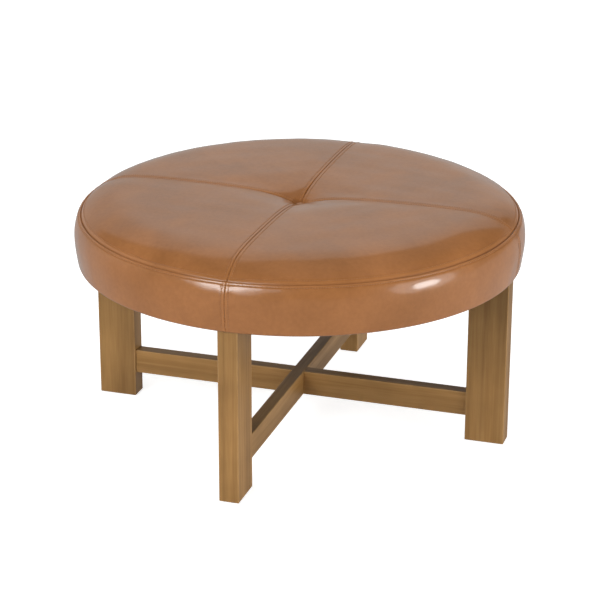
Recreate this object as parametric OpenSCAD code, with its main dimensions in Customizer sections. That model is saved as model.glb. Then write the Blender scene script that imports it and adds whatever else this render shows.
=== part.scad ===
// Round tufted ottoman: a leather drum seat on four timber legs tied by lapped stretchers.
// Millimetres. The origin is on the floor under the middle of the seat, +Z up.
// The stretchers lie along X and Y, and the front leg stands on the -Y side.

/* [Seat] */
// Diameter of the seam between the top and the band
seat_d = 888; // [780:2:1040]
// Floor to the underside of the seat
seat_z = 356.5; // [300:0.5:420]
// Height of the band, underside to rim seam
band_h = 100.5; // [85:0.5:130]
// How far the band swells past the rim seam
band_swell = 13; // [3:0.5:16]
// Radius of the rounded lower edge of the band
tuck_r = 6; // [3:0.5:10]
// Width of the leather that is turned under the board
turned_w = 33; // [28:1:50]

/* [Crown] */
// Rise of the top above the rim seam
crown_h = 30.5; // [20:0.5:45]
// Width over which the crown rounds down to the rim
crown_fall = 47; // [20:1:60]
// Share of the crown's rise that is in its tight shoulder at the rim
shoulder_share = 0.09; // [0:0.01:0.4]
// Width over which that shoulder rounds down to the rim
shoulder_fall = 12; // [4:0.5:16]
// Extra rise of each quadrant between its seams
quarter_puff = 7; // [2:0.5:12]
// Distance from a seam over which a quadrant rises
puff_fall = 60; // [30:1:100]
// How much a seam rises with its quadrants, away from the tuft
seam_lift = 0.55; // [0:0.05:1]
// Distance from the middle over which the seams start to rise
seam_lift_start = 60; // [30:5:120]
// Depth of the tuft below the crown
tuft_h = 24; // [12:1:30]
// Width over which the tuft rises to the crown
tuft_fall = 45; // [30:1:70]
// Depth of the pocket that the button pulls into the leather
pocket_h = 9; // [6:0.5:11]
// Radius of that pocket
pocket_r = 12; // [10:0.5:18]

/* [Leather] */
// Thickness of the cover
leather_t = 1.5; // [1:0.1:2]
// Gap between panels along a seam
seam_gap = 0.4; // [0.2:0.1:1]
// Depth of the groove at the rim seam
groove_h = 1; // [0.5:0.1:2]

/* [Board and filling] */
// Distance of the board's edge inside the rim seam
board_inset = 4; // [3:1:30]
// Thickness of the seat board
board_t = 18; // [15:1:24]
// Thickness of the soft wrap where the tuft presses it on the core
wrap_t = 3; // [2:0.5:12]
// Size of the bevel round the top of the core
core_bevel = 28; // [10:1:45]
// Clearance between soft layers
soft_gap = 0.3; // [0.2:0.1:1]

/* [Button] */
// Diameter of the covered button
button_d = 20; // [16:0.5:22]
// Rise of the button's face above its edge
button_dome = 3.4; // [2:0.1:6]
// Room between the button and the leather under it
button_room = 0.5; // [0.3:0.1:1]
// Thickness of the leather on the button
button_leather = 1; // [0.6:0.1:1.4]
// Wire diameter of the button's eye
eye_wire = 1.4; // [1:0.1:1.6]
// Room between the twine, the eye and the washer
eye_room = 0.4; // [0.3:0.1:0.6]
// Room round the button's eye in the hole for the twine
twine_room = 1.7; // [1:0.1:2]
// Diameter of the tufting twine
twine_d = 2; // [1.4:0.1:2.2]
// Diameter of the twine's anchor washer
anchor_d = 22; // [16:1:30]
// Thickness of the anchor washer
anchor_t = 1.5; // [1:0.1:2]
// Room round the anchor in its pocket under the board
anchor_room = 1.2; // [0.5:0.1:3]

/* [Legs] */
// Distance of the legs' outer faces inside the rim seam
leg_inset = 2; // [0:1:60]
// Width of a leg along the seat's radius
leg_w = 81; // [50:1:110]
// Thickness of a leg
leg_t = 40.5; // [30:0.5:60]
// Rounding of the legs' upright edges
leg_ease = 2; // [1:0.5:5]
// Bevel round the foot
foot_bevel = 1.5; // [0.5:0.5:4]

/* [Stretchers] */
// Thickness of a stretcher
stretcher_t = 26.5; // [18:0.5:30]
// Depth of a stretcher
stretcher_h = 51; // [40:1:70]
// Floor to the stretchers' underside
stretcher_z = 53.5; // [30:0.5:120]
// Rounding of the stretchers' long edges
stretcher_ease = 1.5; // [0.5:0.5:4]

/* [Top rails] */
// Thickness of a top rail
rail_t = 36; // [28:1:38]
// Depth of a top rail
rail_h = 32; // [26:1:40]
// Rounding of the rails' long edges
rail_ease = 1; // [0.5:0.5:4]

/* [Joinery] */
// Diameter of a dowel
dowel_d = 8; // [6:1:10]
// Length of a dowel
dowel_l = 40; // [24:2:48]
// Distance between the two dowels at a stretcher's end
stretcher_dowel_gap = 22; // [14:1:28]
// Distance between the two dowels at a rail's end
rail_dowel_gap = 16; // [13:1:16]
// Room round a dowel and past its ends
dowel_fit = 0.1; // [0.05:0.05:0.3]
// Room at the sides of a half lap
lap_fit = 0.1; // [0.05:0.05:0.5]
// Shank diameter of the screws through the laps
screw_d = 4; // [3:0.5:5]
// Distance that a lap screw stops short of the upper face
screw_short = 7; // [4:1:9]

/* [Seat bolts] */
// Shank diameter of a seat bolt
bolt_d = 8; // [6:1:10]
// Distance of a bolt's end below the board's upper face
bolt_short = 3.6; // [2:0.1:6]
// Distance of a bolt from the inner face of its leg
bolt_inset = 70; // [40:1:200]
// Width across the flats of a bolt's head
bolt_flats = 13; // [12:1:17]
// Height of a bolt's head
bolt_head_h = 5.3; // [4:0.1:7]
// Diameter of a bolt's washer
washer_d = 18; // [16:1:24]
// Thickness of a bolt's washer
washer_t = 1.6; // [1:0.1:2.5]
// Diameter of a tee nut's flange
nut_flange_d = 20; // [18:1:26]
// Thickness of a tee nut's flange
nut_flange_t = 1.6; // [1:0.1:2.5]
// Wall of a tee nut's barrel
nut_wall = 1.4; // [1:0.1:2]
// Length of a tee nut's barrel
nut_barrel_l = 11; // [8:1:13]
// Room between steel parts and their holes
steel_fit = 0.15; // [0.05:0.05:0.3]

/* [Glides] */
// Diameter of a glide
glide_d = 24; // [16:1:30]
// Thickness of a glide
glide_t = 2; // [2:0.5:6]
// Bevel round the lower edge of a glide
glide_bevel = 0.5; // [0.3:0.1:1]
// Shank diameter of a glide's nail
nail_d = 2.5; // [2:0.1:3.5]
// Length of a glide's nail
nail_l = 16; // [10:1:25]

/* [Underside] */
// Thickness of the dust cover
cloth_t = 0.5; // [0.3:0.1:1]
// Distance of the dust cover's edge inside the edge of the board
cloth_inset = 16; // [8:1:20]
// Width of a staple
staple_w = 10; // [6:1:14]
// Length of a staple's legs
staple_l = 9; // [5:1:12]
// Distance of the cover's staples from the raw edge of the leather
cover_staple_inset = 6; // [4:0.5:8]
// Distance of the dust cover's staples from its edge
cloth_staple_inset = 4; // [3:0.5:5]
// Thickness of a staple's wire
staple_wire = 0.6; // [0.4:0.1:0.8]
// Staples in each quarter of the leather's turned edge
cover_staple_count = 9; // [5:1:14]
// Staples in each quarter of the dust cover
cloth_staple_count = 6; // [3:1:10]

/* [Hidden] */

$fn = 64;
eps = 0.01;
right = 0;
back = 90;
left = 180;
front = 270;
sides = [right, back, left, front];

// Levels, from the floor up
leather_z = seat_z + cloth_t;
board_z = leather_z + leather_t;
core_z = board_z + board_t;
rim_z = seat_z + band_h;
tuck_z = leather_z + tuck_r;
rail_z = seat_z - rail_h;

// Radii, from the middle of the seat
rim_r = seat_d / 2;
edge_r = rim_r - leather_t - seam_gap;
board_r = rim_r - board_inset;
turned_r = board_r - turned_w;
cloth_r = board_r - cloth_inset;
leg_in = rim_r - leg_inset - leg_w;
leg_mid = leg_in + leg_w / 2;
bolt_at = leg_in - bolt_inset;
bolt_l = washer_t + rail_h + cloth_t + leather_t + board_t - bolt_short;

// The band's swell follows part of a sine wave, which is fullest a little above its middle
swell_turn = 152.5;
swell_power = 0.6385;
function band_r(z) =
    rim_r + band_swell * sin(swell_turn * pow((rim_z - z) / band_h, swell_power));

tuck_at = band_r(tuck_z) - tuck_r;

// The twine's loop hooks through the button's eye, and both fit the hole in the layers
bight_r = (twine_d + eye_wire) / 2 + eye_room;
eye_r = bight_r + eye_room;
twine_hole_r = eye_r + eye_wire / 2 + twine_room;

// Height of the leather's face at a radius, u away from the nearest cross seam
function crown(r) =
    1 - (1 - shoulder_share) * exp((r - edge_r) / crown_fall)
        - shoulder_share * exp((r - edge_r) / shoulder_fall);
function tuft(r) = tuft_h * exp(-r / tuft_fall) + pocket_h * exp(-pow(r / pocket_r, 3));
function lift(r) = seam_lift * r * r / (r + seam_lift_start);
function puff(r, u) = quarter_puff * (1 - exp(-(u + lift(r)) / puff_fall)) * crown(r);
function seam_distance(r, a) = r * min(abs(sin(a)), abs(cos(a)));
function top_z(r, a) =
    rim_z - groove_h + crown_h * crown(r) - tuft(r) + puff(r, seam_distance(r, a));

// The core is cut flat, just low enough for the wrap to pass under the tuft
core_top_z = top_z(twine_hole_r, 0) - leather_t - soft_gap - wrap_t - soft_gap;

// Rings of the quilted top: they widen out from the tuft, and close up again towards the rim
ring_growth = 1.5;
tuft_rings = 10;
rim_steps = [for (share = [2.6, 1.35, 0.68, 0.28, 0.09, 0]) share * crown_fall];
quarter_steps = 12;
around = 4 * quarter_steps;
ring_r = concat(
    [for (k = [0 : tuft_rings - 1]) twine_hole_r * pow(ring_growth, k)],
    [for (s = rim_steps) edge_r - s]
);
rings = len(ring_r);

// Timber

module eased_rectangle(w, h, r) {
    square([w - 2 * r, h], center = true);
    square([w, h - 2 * r], center = true);
    for (x = [-1, 1], y = [-1, 1]) {
        translate([x * (w / 2 - r), y * (h / 2 - r)]) circle(r);
    }
}

module beam_along_x(l, w, h, r) {
    rotate([90, 0, 90]) linear_extrude(l, center = true) eased_rectangle(w, h, r);
}

module bevelled_foot(w, t) {
    polygon([
        [-w / 2 + foot_bevel, glide_t],
        [w / 2 - foot_bevel, glide_t],
        [w / 2, glide_t + foot_bevel],
        [w / 2, seat_z],
        [-w / 2, seat_z],
        [-w / 2, glide_t + foot_bevel]
    ]);
}

module dowel_pair_at(gap_y, gap_z) {
    for (s = [-1, 1]) {
        translate([leg_in, s * gap_y / 2, s * gap_z / 2]) rotate([0, 90, 0]) children();
    }
}

module stretcher_dowel_places() {
    translate([0, 0, stretcher_z + stretcher_h / 2]) dowel_pair_at(0, stretcher_dowel_gap) children();
}

module rail_dowel_places() {
    translate([0, 0, rail_z + rail_h / 2]) dowel_pair_at(rail_dowel_gap, 0) children();
}

module dowel() {
    cylinder(d = dowel_d, h = dowel_l - dowel_d / 4, center = true);
    for (s = [0, 180]) {
        rotate([s, 0, 0]) translate([0, 0, dowel_l / 2 - dowel_d / 8 - eps])
            cylinder(d1 = dowel_d, d2 = dowel_d * 0.8, h = dowel_d / 8);
    }
}

module dowel_hole() {
    cylinder(d = dowel_d + 2 * dowel_fit, h = dowel_l + 2 * dowel_fit, center = true);
}

module nail_hole() {
    translate([leg_mid, 0, glide_t - eps]) cylinder(d = nail_d + 2 * steel_fit, h = nail_l + eps);
}

module leg(side) {
    color("tan") rotate([0, 0, side]) difference() {
        intersection() {
            translate([leg_mid, 0, 0]) linear_extrude(seat_z) eased_rectangle(leg_w, leg_t, leg_ease);
            translate([leg_mid, 0, 0]) rotate([90, 0, 0])
                linear_extrude(leg_t, center = true) bevelled_foot(leg_w);
            translate([leg_mid, 0, 0]) rotate([90, 0, 90])
                linear_extrude(leg_w, center = true) bevelled_foot(leg_t);
        }
        stretcher_dowel_places() dowel_hole();
        rail_dowel_places() dowel_hole();
        nail_hole();
    }
}

module leg_front() { leg(front); }
module leg_back() { leg(back); }
module leg_left() { leg(left); }
module leg_right() { leg(right); }

// A screw that points up, with its countersunk head flush with z = 0
module lap_screw(l, room) {
    head_r = screw_d;
    cylinder(r = screw_d / 2 + room, h = l + room);
    translate([0, 0, -eps]) cylinder(r1 = head_r + room, r2 = screw_d / 2 + room, h = head_r * 0.6);
}

// One half of a half lap, along X: the notch is cut from half depth, up or down
module lapped_beam(z, w, h, ease, up) {
    difference() {
        translate([0, 0, z + h / 2]) beam_along_x(2 * leg_in, w, h, ease);
        translate([-w / 2 - lap_fit, -w, z + (up ? h / 2 : -h / 2)]) cube([w + 2 * lap_fit, 2 * w, h]);
        translate([0, 0, z]) lap_screw(h - screw_short, steel_fit);
    }
}

module stretcher(up) {
    difference() {
        lapped_beam(stretcher_z, stretcher_t, stretcher_h, stretcher_ease, up);
        for (s = [right, left]) rotate([0, 0, s]) stretcher_dowel_places() dowel_hole();
    }
}

module stretcher_under() {
    color("tan") stretcher(true);
}

module stretcher_over() {
    color("tan") rotate([0, 0, back]) stretcher(false);
}

module stretcher_dowels() {
    color("burlywood") for (s = sides) rotate([0, 0, s]) stretcher_dowel_places() dowel();
}

module stretcher_lap_screw() {
    color("silver") translate([0, 0, stretcher_z]) lap_screw(stretcher_h - screw_short, 0);
}

module top_rail(up) {
    difference() {
        lapped_beam(rail_z, rail_t, rail_h, rail_ease, up);
        for (s = [right, left]) rotate([0, 0, s]) {
            rail_dowel_places() dowel_hole();
            bolt_place() translate([0, 0, -eps]) cylinder(d = bolt_d + 4 * steel_fit, h = rail_h + 2 * eps);
        }
    }
}

module top_rail_under() {
    color("burlywood") top_rail(true);
}

module top_rail_over() {
    color("burlywood") rotate([0, 0, back]) top_rail(false);
}

module top_rail_dowels() {
    color("burlywood") for (s = sides) rotate([0, 0, s]) rail_dowel_places() dowel();
}

module top_rail_lap_screw() {
    color("silver") translate([0, 0, rail_z]) lap_screw(rail_h - screw_short, 0);
}

// Seat bolts, each up through a rail into a tee nut in the board

module bolt_place() {
    translate([bolt_at, 0, rail_z]) children();
}

module seat_bolts() {
    color("silver") for (s = sides) rotate([0, 0, s]) bolt_place() translate([0, 0, -washer_t]) {
        cylinder(d = bolt_d, h = bolt_l);
        translate([0, 0, -bolt_head_h]) cylinder(d = bolt_flats / cos(30), h = bolt_head_h, $fn = 6);
    }
}

module bolt_washers() {
    color("silver") for (s = sides) rotate([0, 0, s]) bolt_place() translate([0, 0, -washer_t]) difference() {
        cylinder(d = washer_d, h = washer_t);
        translate([0, 0, -eps]) cylinder(d = bolt_d + 2 * steel_fit, h = washer_t + 2 * eps);
    }
}

module tee_nut(room) {
    barrel_r = bolt_d / 2 + steel_fit + nut_wall;
    translate([0, 0, -nut_flange_t - room]) cylinder(r = nut_flange_d / 2 + room, h = nut_flange_t + room);
    translate([0, 0, -nut_flange_t - nut_barrel_l]) cylinder(r = barrel_r + room, h = nut_barrel_l + eps);
}

module tee_nuts() {
    color("silver") for (s = sides) rotate([0, 0, s]) translate([bolt_at, 0, core_z]) difference() {
        tee_nut(0);
        translate([0, 0, -board_t]) cylinder(d = bolt_d + 2 * steel_fit, h = 2 * board_t);
    }
}

// Glides under the legs

module glides() {
    head_r = nail_d;
    color("dimgray") for (s = sides) rotate([0, 0, s]) translate([leg_mid, 0, 0]) difference() {
        union() {
            cylinder(r1 = glide_d / 2 - glide_bevel, r2 = glide_d / 2, h = glide_bevel);
            translate([0, 0, glide_bevel]) cylinder(d = glide_d, h = glide_t - glide_bevel);
        }
        translate([0, 0, -eps]) cylinder(r = nail_d / 2 + steel_fit, h = glide_t + 2 * eps);
        translate([0, 0, -eps]) cylinder(r = head_r + steel_fit, h = glide_t / 2 + steel_fit);
    }
}

module glide_nails() {
    head_r = nail_d;
    color("silver") for (s = sides) rotate([0, 0, s]) translate([leg_mid, 0, glide_t / 2]) {
        translate([0, 0, -glide_t / 4]) cylinder(r = head_r, h = glide_t / 4 + steel_fit / 2);
        cylinder(d = nail_d, h = nail_l + glide_t / 2 - nail_d);
        translate([0, 0, nail_l + glide_t / 2 - nail_d - eps]) cylinder(d1 = nail_d, d2 = nail_d / 4, h = nail_d);
    }
}

// Staples: crown across the radius, legs up

function staple_angles(count) = [for (q = sides, k = [0 : count - 1]) q + (k + 0.5) * 90 / count];

cover_staple_r = turned_r + cover_staple_inset;
cloth_staple_r = cloth_r - cloth_staple_inset;

module staple_leg_marks(r, count, room) {
    for (a = staple_angles(count), s = [-1, 1]) {
        rotate(a) translate([r, s * (staple_w - staple_wire) / 2])
            square([2 * staple_wire + 2 * room, staple_wire + 2 * room], center = true);
    }
}

module staple_crown_marks(r, count, room) {
    for (a = staple_angles(count)) {
        rotate(a) translate([r, 0])
            square([2 * staple_wire + 2 * room, staple_w + 2 * room], center = true);
    }
}

module staples(r, count, z) {
    translate([0, 0, z]) linear_extrude(staple_wire) staple_crown_marks(r, count, 0);
    translate([0, 0, z]) linear_extrude(staple_l) staple_leg_marks(r, count, 0);
}

module staple_slots(r, count, z) {
    room = steel_fit;
    translate([0, 0, z - eps]) linear_extrude(staple_wire + eps) staple_crown_marks(r, count, room);
    translate([0, 0, z - eps]) linear_extrude(staple_l + room) staple_leg_marks(r, count, room);
}

module all_staple_slots() {
    staple_slots(cover_staple_r, cover_staple_count, leather_z);
    staple_slots(cloth_staple_r, cloth_staple_count, seat_z - staple_wire);
}

module cover_staples() {
    color("silver") staples(cover_staple_r, cover_staple_count, leather_z);
}

module dust_cover_staples() {
    color("silver") staples(cloth_staple_r, cloth_staple_count, seat_z - staple_wire);
}

module dust_cover() {
    color([0.12, 0.12, 0.13]) difference() {
        translate([0, 0, seat_z]) cylinder(r = cloth_r, h = cloth_t);
        for (s = sides) rotate([0, 0, s]) translate([bolt_at, 0, seat_z - eps])
            cylinder(d = bolt_d + 4 * steel_fit, h = cloth_t + 2 * eps);
        staple_slots(cloth_staple_r, cloth_staple_count, seat_z - staple_wire);
    }
}

// Board and filling

module seat_board() {
    color("wheat") difference() {
        translate([0, 0, board_z]) cylinder(r = board_r, h = board_t, $fn = 128);
        for (s = sides) rotate([0, 0, s]) translate([bolt_at, 0, core_z]) {
            tee_nut(steel_fit);
            translate([0, 0, -board_t - eps]) cylinder(d = bolt_d + 4 * steel_fit, h = board_t + 2 * eps);
            translate([0, 0, -eps]) cylinder(d = nut_flange_d + 2 * steel_fit, h = 2 * eps);
        }
        translate([0, 0, board_z - eps]) cylinder(r = twine_hole_r, h = board_t + 2 * eps);
        translate([0, 0, board_z - eps])
            cylinder(r = anchor_d / 2 + anchor_room, h = anchor_pocket_h + eps);
        all_staple_slots();
    }
}

module foam_core() {
    color("lightyellow") rotate_extrude($fn = 128) polygon([
        [twine_hole_r, core_z],
        [board_r, core_z],
        [board_r, core_top_z - core_bevel],
        [board_r - core_bevel, core_top_z],
        [twine_hole_r, core_top_z]
    ]);
}

// The wrap is one ring of flat triangles: its inner corners stand out so that the flats clear the core
flat_r = 1 / cos(180 / around);
wrap_side_steps = 4;
function wrap_top(a) = [for (r = ring_r) [r, top_z(r, a) - leather_t - soft_gap]];
wrap_side = [
    for (k = [1 : wrap_side_steps])
        let (z = rim_z - (rim_z - tuck_z) * k / wrap_side_steps) [band_r(z) - leather_t - soft_gap, z]
];
wrap_inside = [
    [tuck_at, board_z + soft_gap],
    [(board_r + soft_gap) * flat_r, board_z + soft_gap],
    [(board_r + soft_gap) * flat_r, core_top_z - core_bevel],
    [(board_r - core_bevel + soft_gap) * flat_r, core_top_z + soft_gap],
    [twine_hole_r, core_top_z + soft_gap]
];
wrap_count = rings + wrap_side_steps + len(wrap_inside);

module wadding_wrap() {
    points = [
        for (j = [0 : around - 1], p = concat(wrap_top(j * 360 / around), wrap_side, wrap_inside))
            let (a = j * 360 / around) [p[0] * cos(a), p[0] * sin(a), p[1]]
    ];
    function at(j, k) = (j % around) * wrap_count + k % wrap_count;
    faces = [
        for (j = [0 : around - 1], k = [0 : wrap_count - 1], half = [0, 1])
            half == 0
                ? [at(j, k), at(j + 1, k + 1), at(j, k + 1)]
                : [at(j, k), at(j + 1, k), at(j + 1, k + 1)]
    ];
    color("white") polyhedron(points, faces);
}

// Leather cover

function panel_angle(r, j) =
    let (lean = asin(seam_gap / 2 / r)) lean + (90 - 2 * lean) * j / quarter_steps;

module top_panel(side) {
    row = quarter_steps + 1;
    layer = rings * row;
    points = [
        for (drop = [0, leather_t], r = ring_r, j = [0 : quarter_steps])
            let (a = panel_angle(r, j)) [r * cos(a), r * sin(a), top_z(r, a) - drop]
    ];
    function at(i, j, low) = low * layer + i * row + j;
    skins = [
        for (low = [0, 1], i = [0 : rings - 2], j = [0 : quarter_steps - 1], half = [0, 1])
            let (
                a = at(i, j, low),
                b = at(i + 1, j, low),
                c = at(i + 1, j + 1, low),
                d = at(i, j + 1, low)
            )
            low == 0 ? (half == 0 ? [a, c, b] : [a, d, c]) : (half == 0 ? [a, b, c] : [a, c, d])
    ];
    function strip(a, b) = [[a, b, b + layer], [a, b + layer, a + layer]];
    ends = [
        for (i = [0 : rings - 2])
            each concat(
                strip(at(i, 0, 0), at(i + 1, 0, 0)),
                strip(at(i + 1, quarter_steps, 0), at(i, quarter_steps, 0))
            )
    ];
    arcs = [
        for (j = [0 : quarter_steps - 1])
            each concat(
                strip(at(0, j + 1, 0), at(0, j, 0)),
                strip(at(rings - 1, j, 0), at(rings - 1, j + 1, 0))
            )
    ];
    color([0.64, 0.42, 0.27]) rotate([0, 0, side]) polyhedron(points, concat(skins, ends, arcs));
}

module top_panel_back_right() { top_panel(right); }
module top_panel_back_left() { top_panel(back); }
module top_panel_front_left() { top_panel(left); }
module top_panel_front_right() { top_panel(front); }

// Outline of the band's leather: the side from the rim down, the tucked edge, then the turned strip
band_steps = 14;
tuck_steps = 4;
function band_side(inset) = [
    for (k = [0 : band_steps]) let (z = rim_z - (rim_z - tuck_z) * k / band_steps) [band_r(z) - inset, z]
];
function band_tuck(inset) = [
    for (k = [1 : tuck_steps])
        let (a = 90 * k / tuck_steps, r = tuck_r - inset) [tuck_at + r * cos(a), tuck_z - r * sin(a)]
];
function reversed(list) = [for (k = [len(list) - 1 : -1 : 0]) list[k]];

module band_panel(side) {
    lean = asin(seam_gap / 2 / rim_r);
    outline = concat(
        band_side(0), band_tuck(0),
        [[turned_r, leather_z], [turned_r, board_z]],
        reversed(band_tuck(leather_t)), reversed(band_side(leather_t))
    );
    color([0.66, 0.44, 0.29]) difference() {
        rotate([0, 0, side + lean]) rotate_extrude(angle = 90 - 2 * lean, $fn = 128) polygon(outline);
        all_staple_slots();
    }
}

module band_panel_back_right() { band_panel(right); }
module band_panel_back_left() { band_panel(back); }
module band_panel_front_left() { band_panel(left); }
module band_panel_front_right() { band_panel(front); }

// Button, twine and anchor

button_r = button_d / 2;
button_z = top_z(button_r, 0) + button_room;
button_steps = 10;
// The button's back follows the pocket in the leather, at two radii
back_r = [button_r * 0.75, button_r * 0.5];
back_z = [for (r = back_r) top_z(r, 0) + button_room];
eye_z = back_z[1] - eye_r;
bight_z = eye_z - eye_r + eye_room / 2;

// The knot sits in the washer's hole, and the pocket under the board holds both
knot_r = 2 * twine_d;
anchor_hole_r = bight_r + twine_d / 2 + eye_room / 2;
knot_drop = sqrt(pow(knot_r, 2) - pow(anchor_hole_r, 2)) + eye_room / 2;
anchor_z = board_z + anchor_room + knot_r + knot_drop;
anchor_pocket_h = anchor_z + anchor_t - board_z;

function lens(inset) = concat(
    [
        for (k = [0 : button_steps])
            let (a = 90 * k / button_steps)
            [(button_r - inset) * sin(a), button_z + (button_dome - inset) * cos(a)]
    ],
    [
        [back_r[0] - inset / 2, back_z[0] + inset],
        [back_r[1] - inset / 2, back_z[1] + inset],
        [0, back_z[1] + inset]
    ]
);

module button_cover() {
    color([0.6, 0.38, 0.24]) difference() {
        rotate_extrude() polygon(lens(0));
        rotate_extrude() polygon(lens(button_leather));
        translate([0, 0, back_z[1] - eps])
            cylinder(r = eye_r + eye_wire, h = button_leather + 2 * eps);
    }
}

module button_shell() {
    color("silver") {
        rotate_extrude() polygon(lens(button_leather + steel_fit));
        translate([0, 0, eye_z]) rotate([0, 90, 0]) rotate_extrude() translate([eye_r, 0]) circle(d = eye_wire);
        translate([0, 0, eye_z + eye_r]) cylinder(d = eye_wire * 1.5, h = button_leather + eye_wire);
    }
}

// The twine is pulled a little thinner where it turns through the eye
module tufting_twine() {
    knot_z = anchor_z - knot_drop;
    bight_d = twine_d * 0.92;
    color("beige") {
        for (s = [-1, 1]) {
            translate([s * bight_r, 0, knot_z]) cylinder(d = twine_d, h = bight_z - knot_z);
        }
        translate([0, 0, bight_z]) rotate([90, 0, 0]) rotate([0, 0, -1]) rotate_extrude(angle = 182)
            translate([bight_r, 0]) circle(d = bight_d);
        translate([0, 0, knot_z]) sphere(r = knot_r);
    }
}

module twine_washer() {
    color("silver") translate([0, 0, anchor_z]) difference() {
        cylinder(d = anchor_d, h = anchor_t);
        translate([0, 0, -eps]) cylinder(r = anchor_hole_r, h = anchor_t + 2 * eps);
    }
}

leg_front();
leg_back();
leg_left();
leg_right();
stretcher_over();
stretcher_under();
stretcher_dowels();
stretcher_lap_screw();
top_rail_over();
top_rail_under();
top_rail_dowels();
top_rail_lap_screw();
seat_bolts();
bolt_washers();
tee_nuts();
glides();
glide_nails();
seat_board();
foam_core();
wadding_wrap();
top_panel_back_right();
top_panel_back_left();
top_panel_front_left();
top_panel_front_right();
band_panel_back_right();
band_panel_back_left();
band_panel_front_left();
band_panel_front_right();
button_cover();
button_shell();
tufting_twine();
twine_washer();
dust_cover();
cover_staples();
dust_cover_staples();
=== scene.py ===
"""Looks of the tufted ottoman: a round leather seat with one button tuft on four timber legs.

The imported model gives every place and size. The leather, stitching, padding, button and dust cover
are made here as meshes, and the timber and hardware keep their solids and get their finishes here.
Lengths are in metres.
"""

import math

import bpy
import numpy as np
from bpy.props import FloatProperty, FloatVectorProperty, IntProperty, PointerProperty
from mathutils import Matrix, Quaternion, Vector
from mathutils.bvhtree import BVHTree


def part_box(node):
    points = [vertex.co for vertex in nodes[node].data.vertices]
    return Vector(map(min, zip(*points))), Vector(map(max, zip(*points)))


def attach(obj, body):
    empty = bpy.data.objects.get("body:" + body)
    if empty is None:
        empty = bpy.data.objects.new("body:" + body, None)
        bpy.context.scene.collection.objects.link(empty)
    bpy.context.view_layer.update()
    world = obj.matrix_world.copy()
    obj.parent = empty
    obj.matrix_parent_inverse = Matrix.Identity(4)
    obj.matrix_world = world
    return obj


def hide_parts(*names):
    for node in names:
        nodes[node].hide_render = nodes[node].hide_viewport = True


bl_info = {
    "name": "Tufted ottoman",
    "version": (1, 0, 0),
    "blender": (4, 5, 0),
    "location": "View3D > Sidebar > Ottoman",
    "description": "Builds the leather, padding, timber finish and studio of a round tufted ottoman",
    "category": "Object",
}

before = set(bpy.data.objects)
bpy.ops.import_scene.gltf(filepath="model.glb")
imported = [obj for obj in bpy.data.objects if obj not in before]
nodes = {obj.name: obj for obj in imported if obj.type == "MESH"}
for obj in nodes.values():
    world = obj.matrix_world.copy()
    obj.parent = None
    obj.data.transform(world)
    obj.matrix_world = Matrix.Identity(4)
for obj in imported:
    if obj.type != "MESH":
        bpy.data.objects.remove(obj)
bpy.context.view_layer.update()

MM = 0.001
ROOT = "root"
WHITE = (1.0, 1.0, 1.0, 1.0)
DOWN = Vector((0, 0, -1))
ABOVE = 0.2
OUTSIDE = 0.6

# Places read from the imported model
BAND_NODE = "band_panel_front_right"
RIM_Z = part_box(BAND_NODE)[1].z
LEATHER_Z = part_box(BAND_NODE)[0].z
EDGE_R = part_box("top_panel_front_right")[1].x
BOARD_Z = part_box("seat_board")[0].z
CORE_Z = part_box("seat_board")[1].z
BOARD_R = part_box("seat_board")[1].x
FOAM_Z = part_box("foam_core")[1].z
CLOTH_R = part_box("dust_cover")[1].x
CLOTH_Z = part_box("dust_cover")[0].z
CLOTH_T = LEATHER_Z - CLOTH_Z
BUTTON_LO, BUTTON_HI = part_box("button_cover")
BAND_H = RIM_Z - CLOTH_Z

# Places that this script adds
BUTTON_RISE = 0.002
RIM_R = 0.444
TURNED_R = 0.407
TUCK_R = 0.006
TUCK_Z = LEATHER_Z + TUCK_R
TWINE_HOLE_R = 0.0052
FOAM_BEVEL = 0.028

# The four seams run out at these angles, and a quarter lies between each and the next
QUARTERS = (("back_right", 0), ("back_left", 90), ("front_left", 180), ("front_right", 270))


# Sizes and colours that a user would change

LENGTH = {"unit": "LENGTH", "precision": 4, "min": 0.0005, "max": 0.2}
COLOUR = {"subtype": "COLOR", "size": 3, "min": 0.0, "max": 1.0}
SHARE = {"precision": 3, "min": 0.0, "max": 1.0}
POWER = {"min": 0.0, "max": 1000.0}


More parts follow.
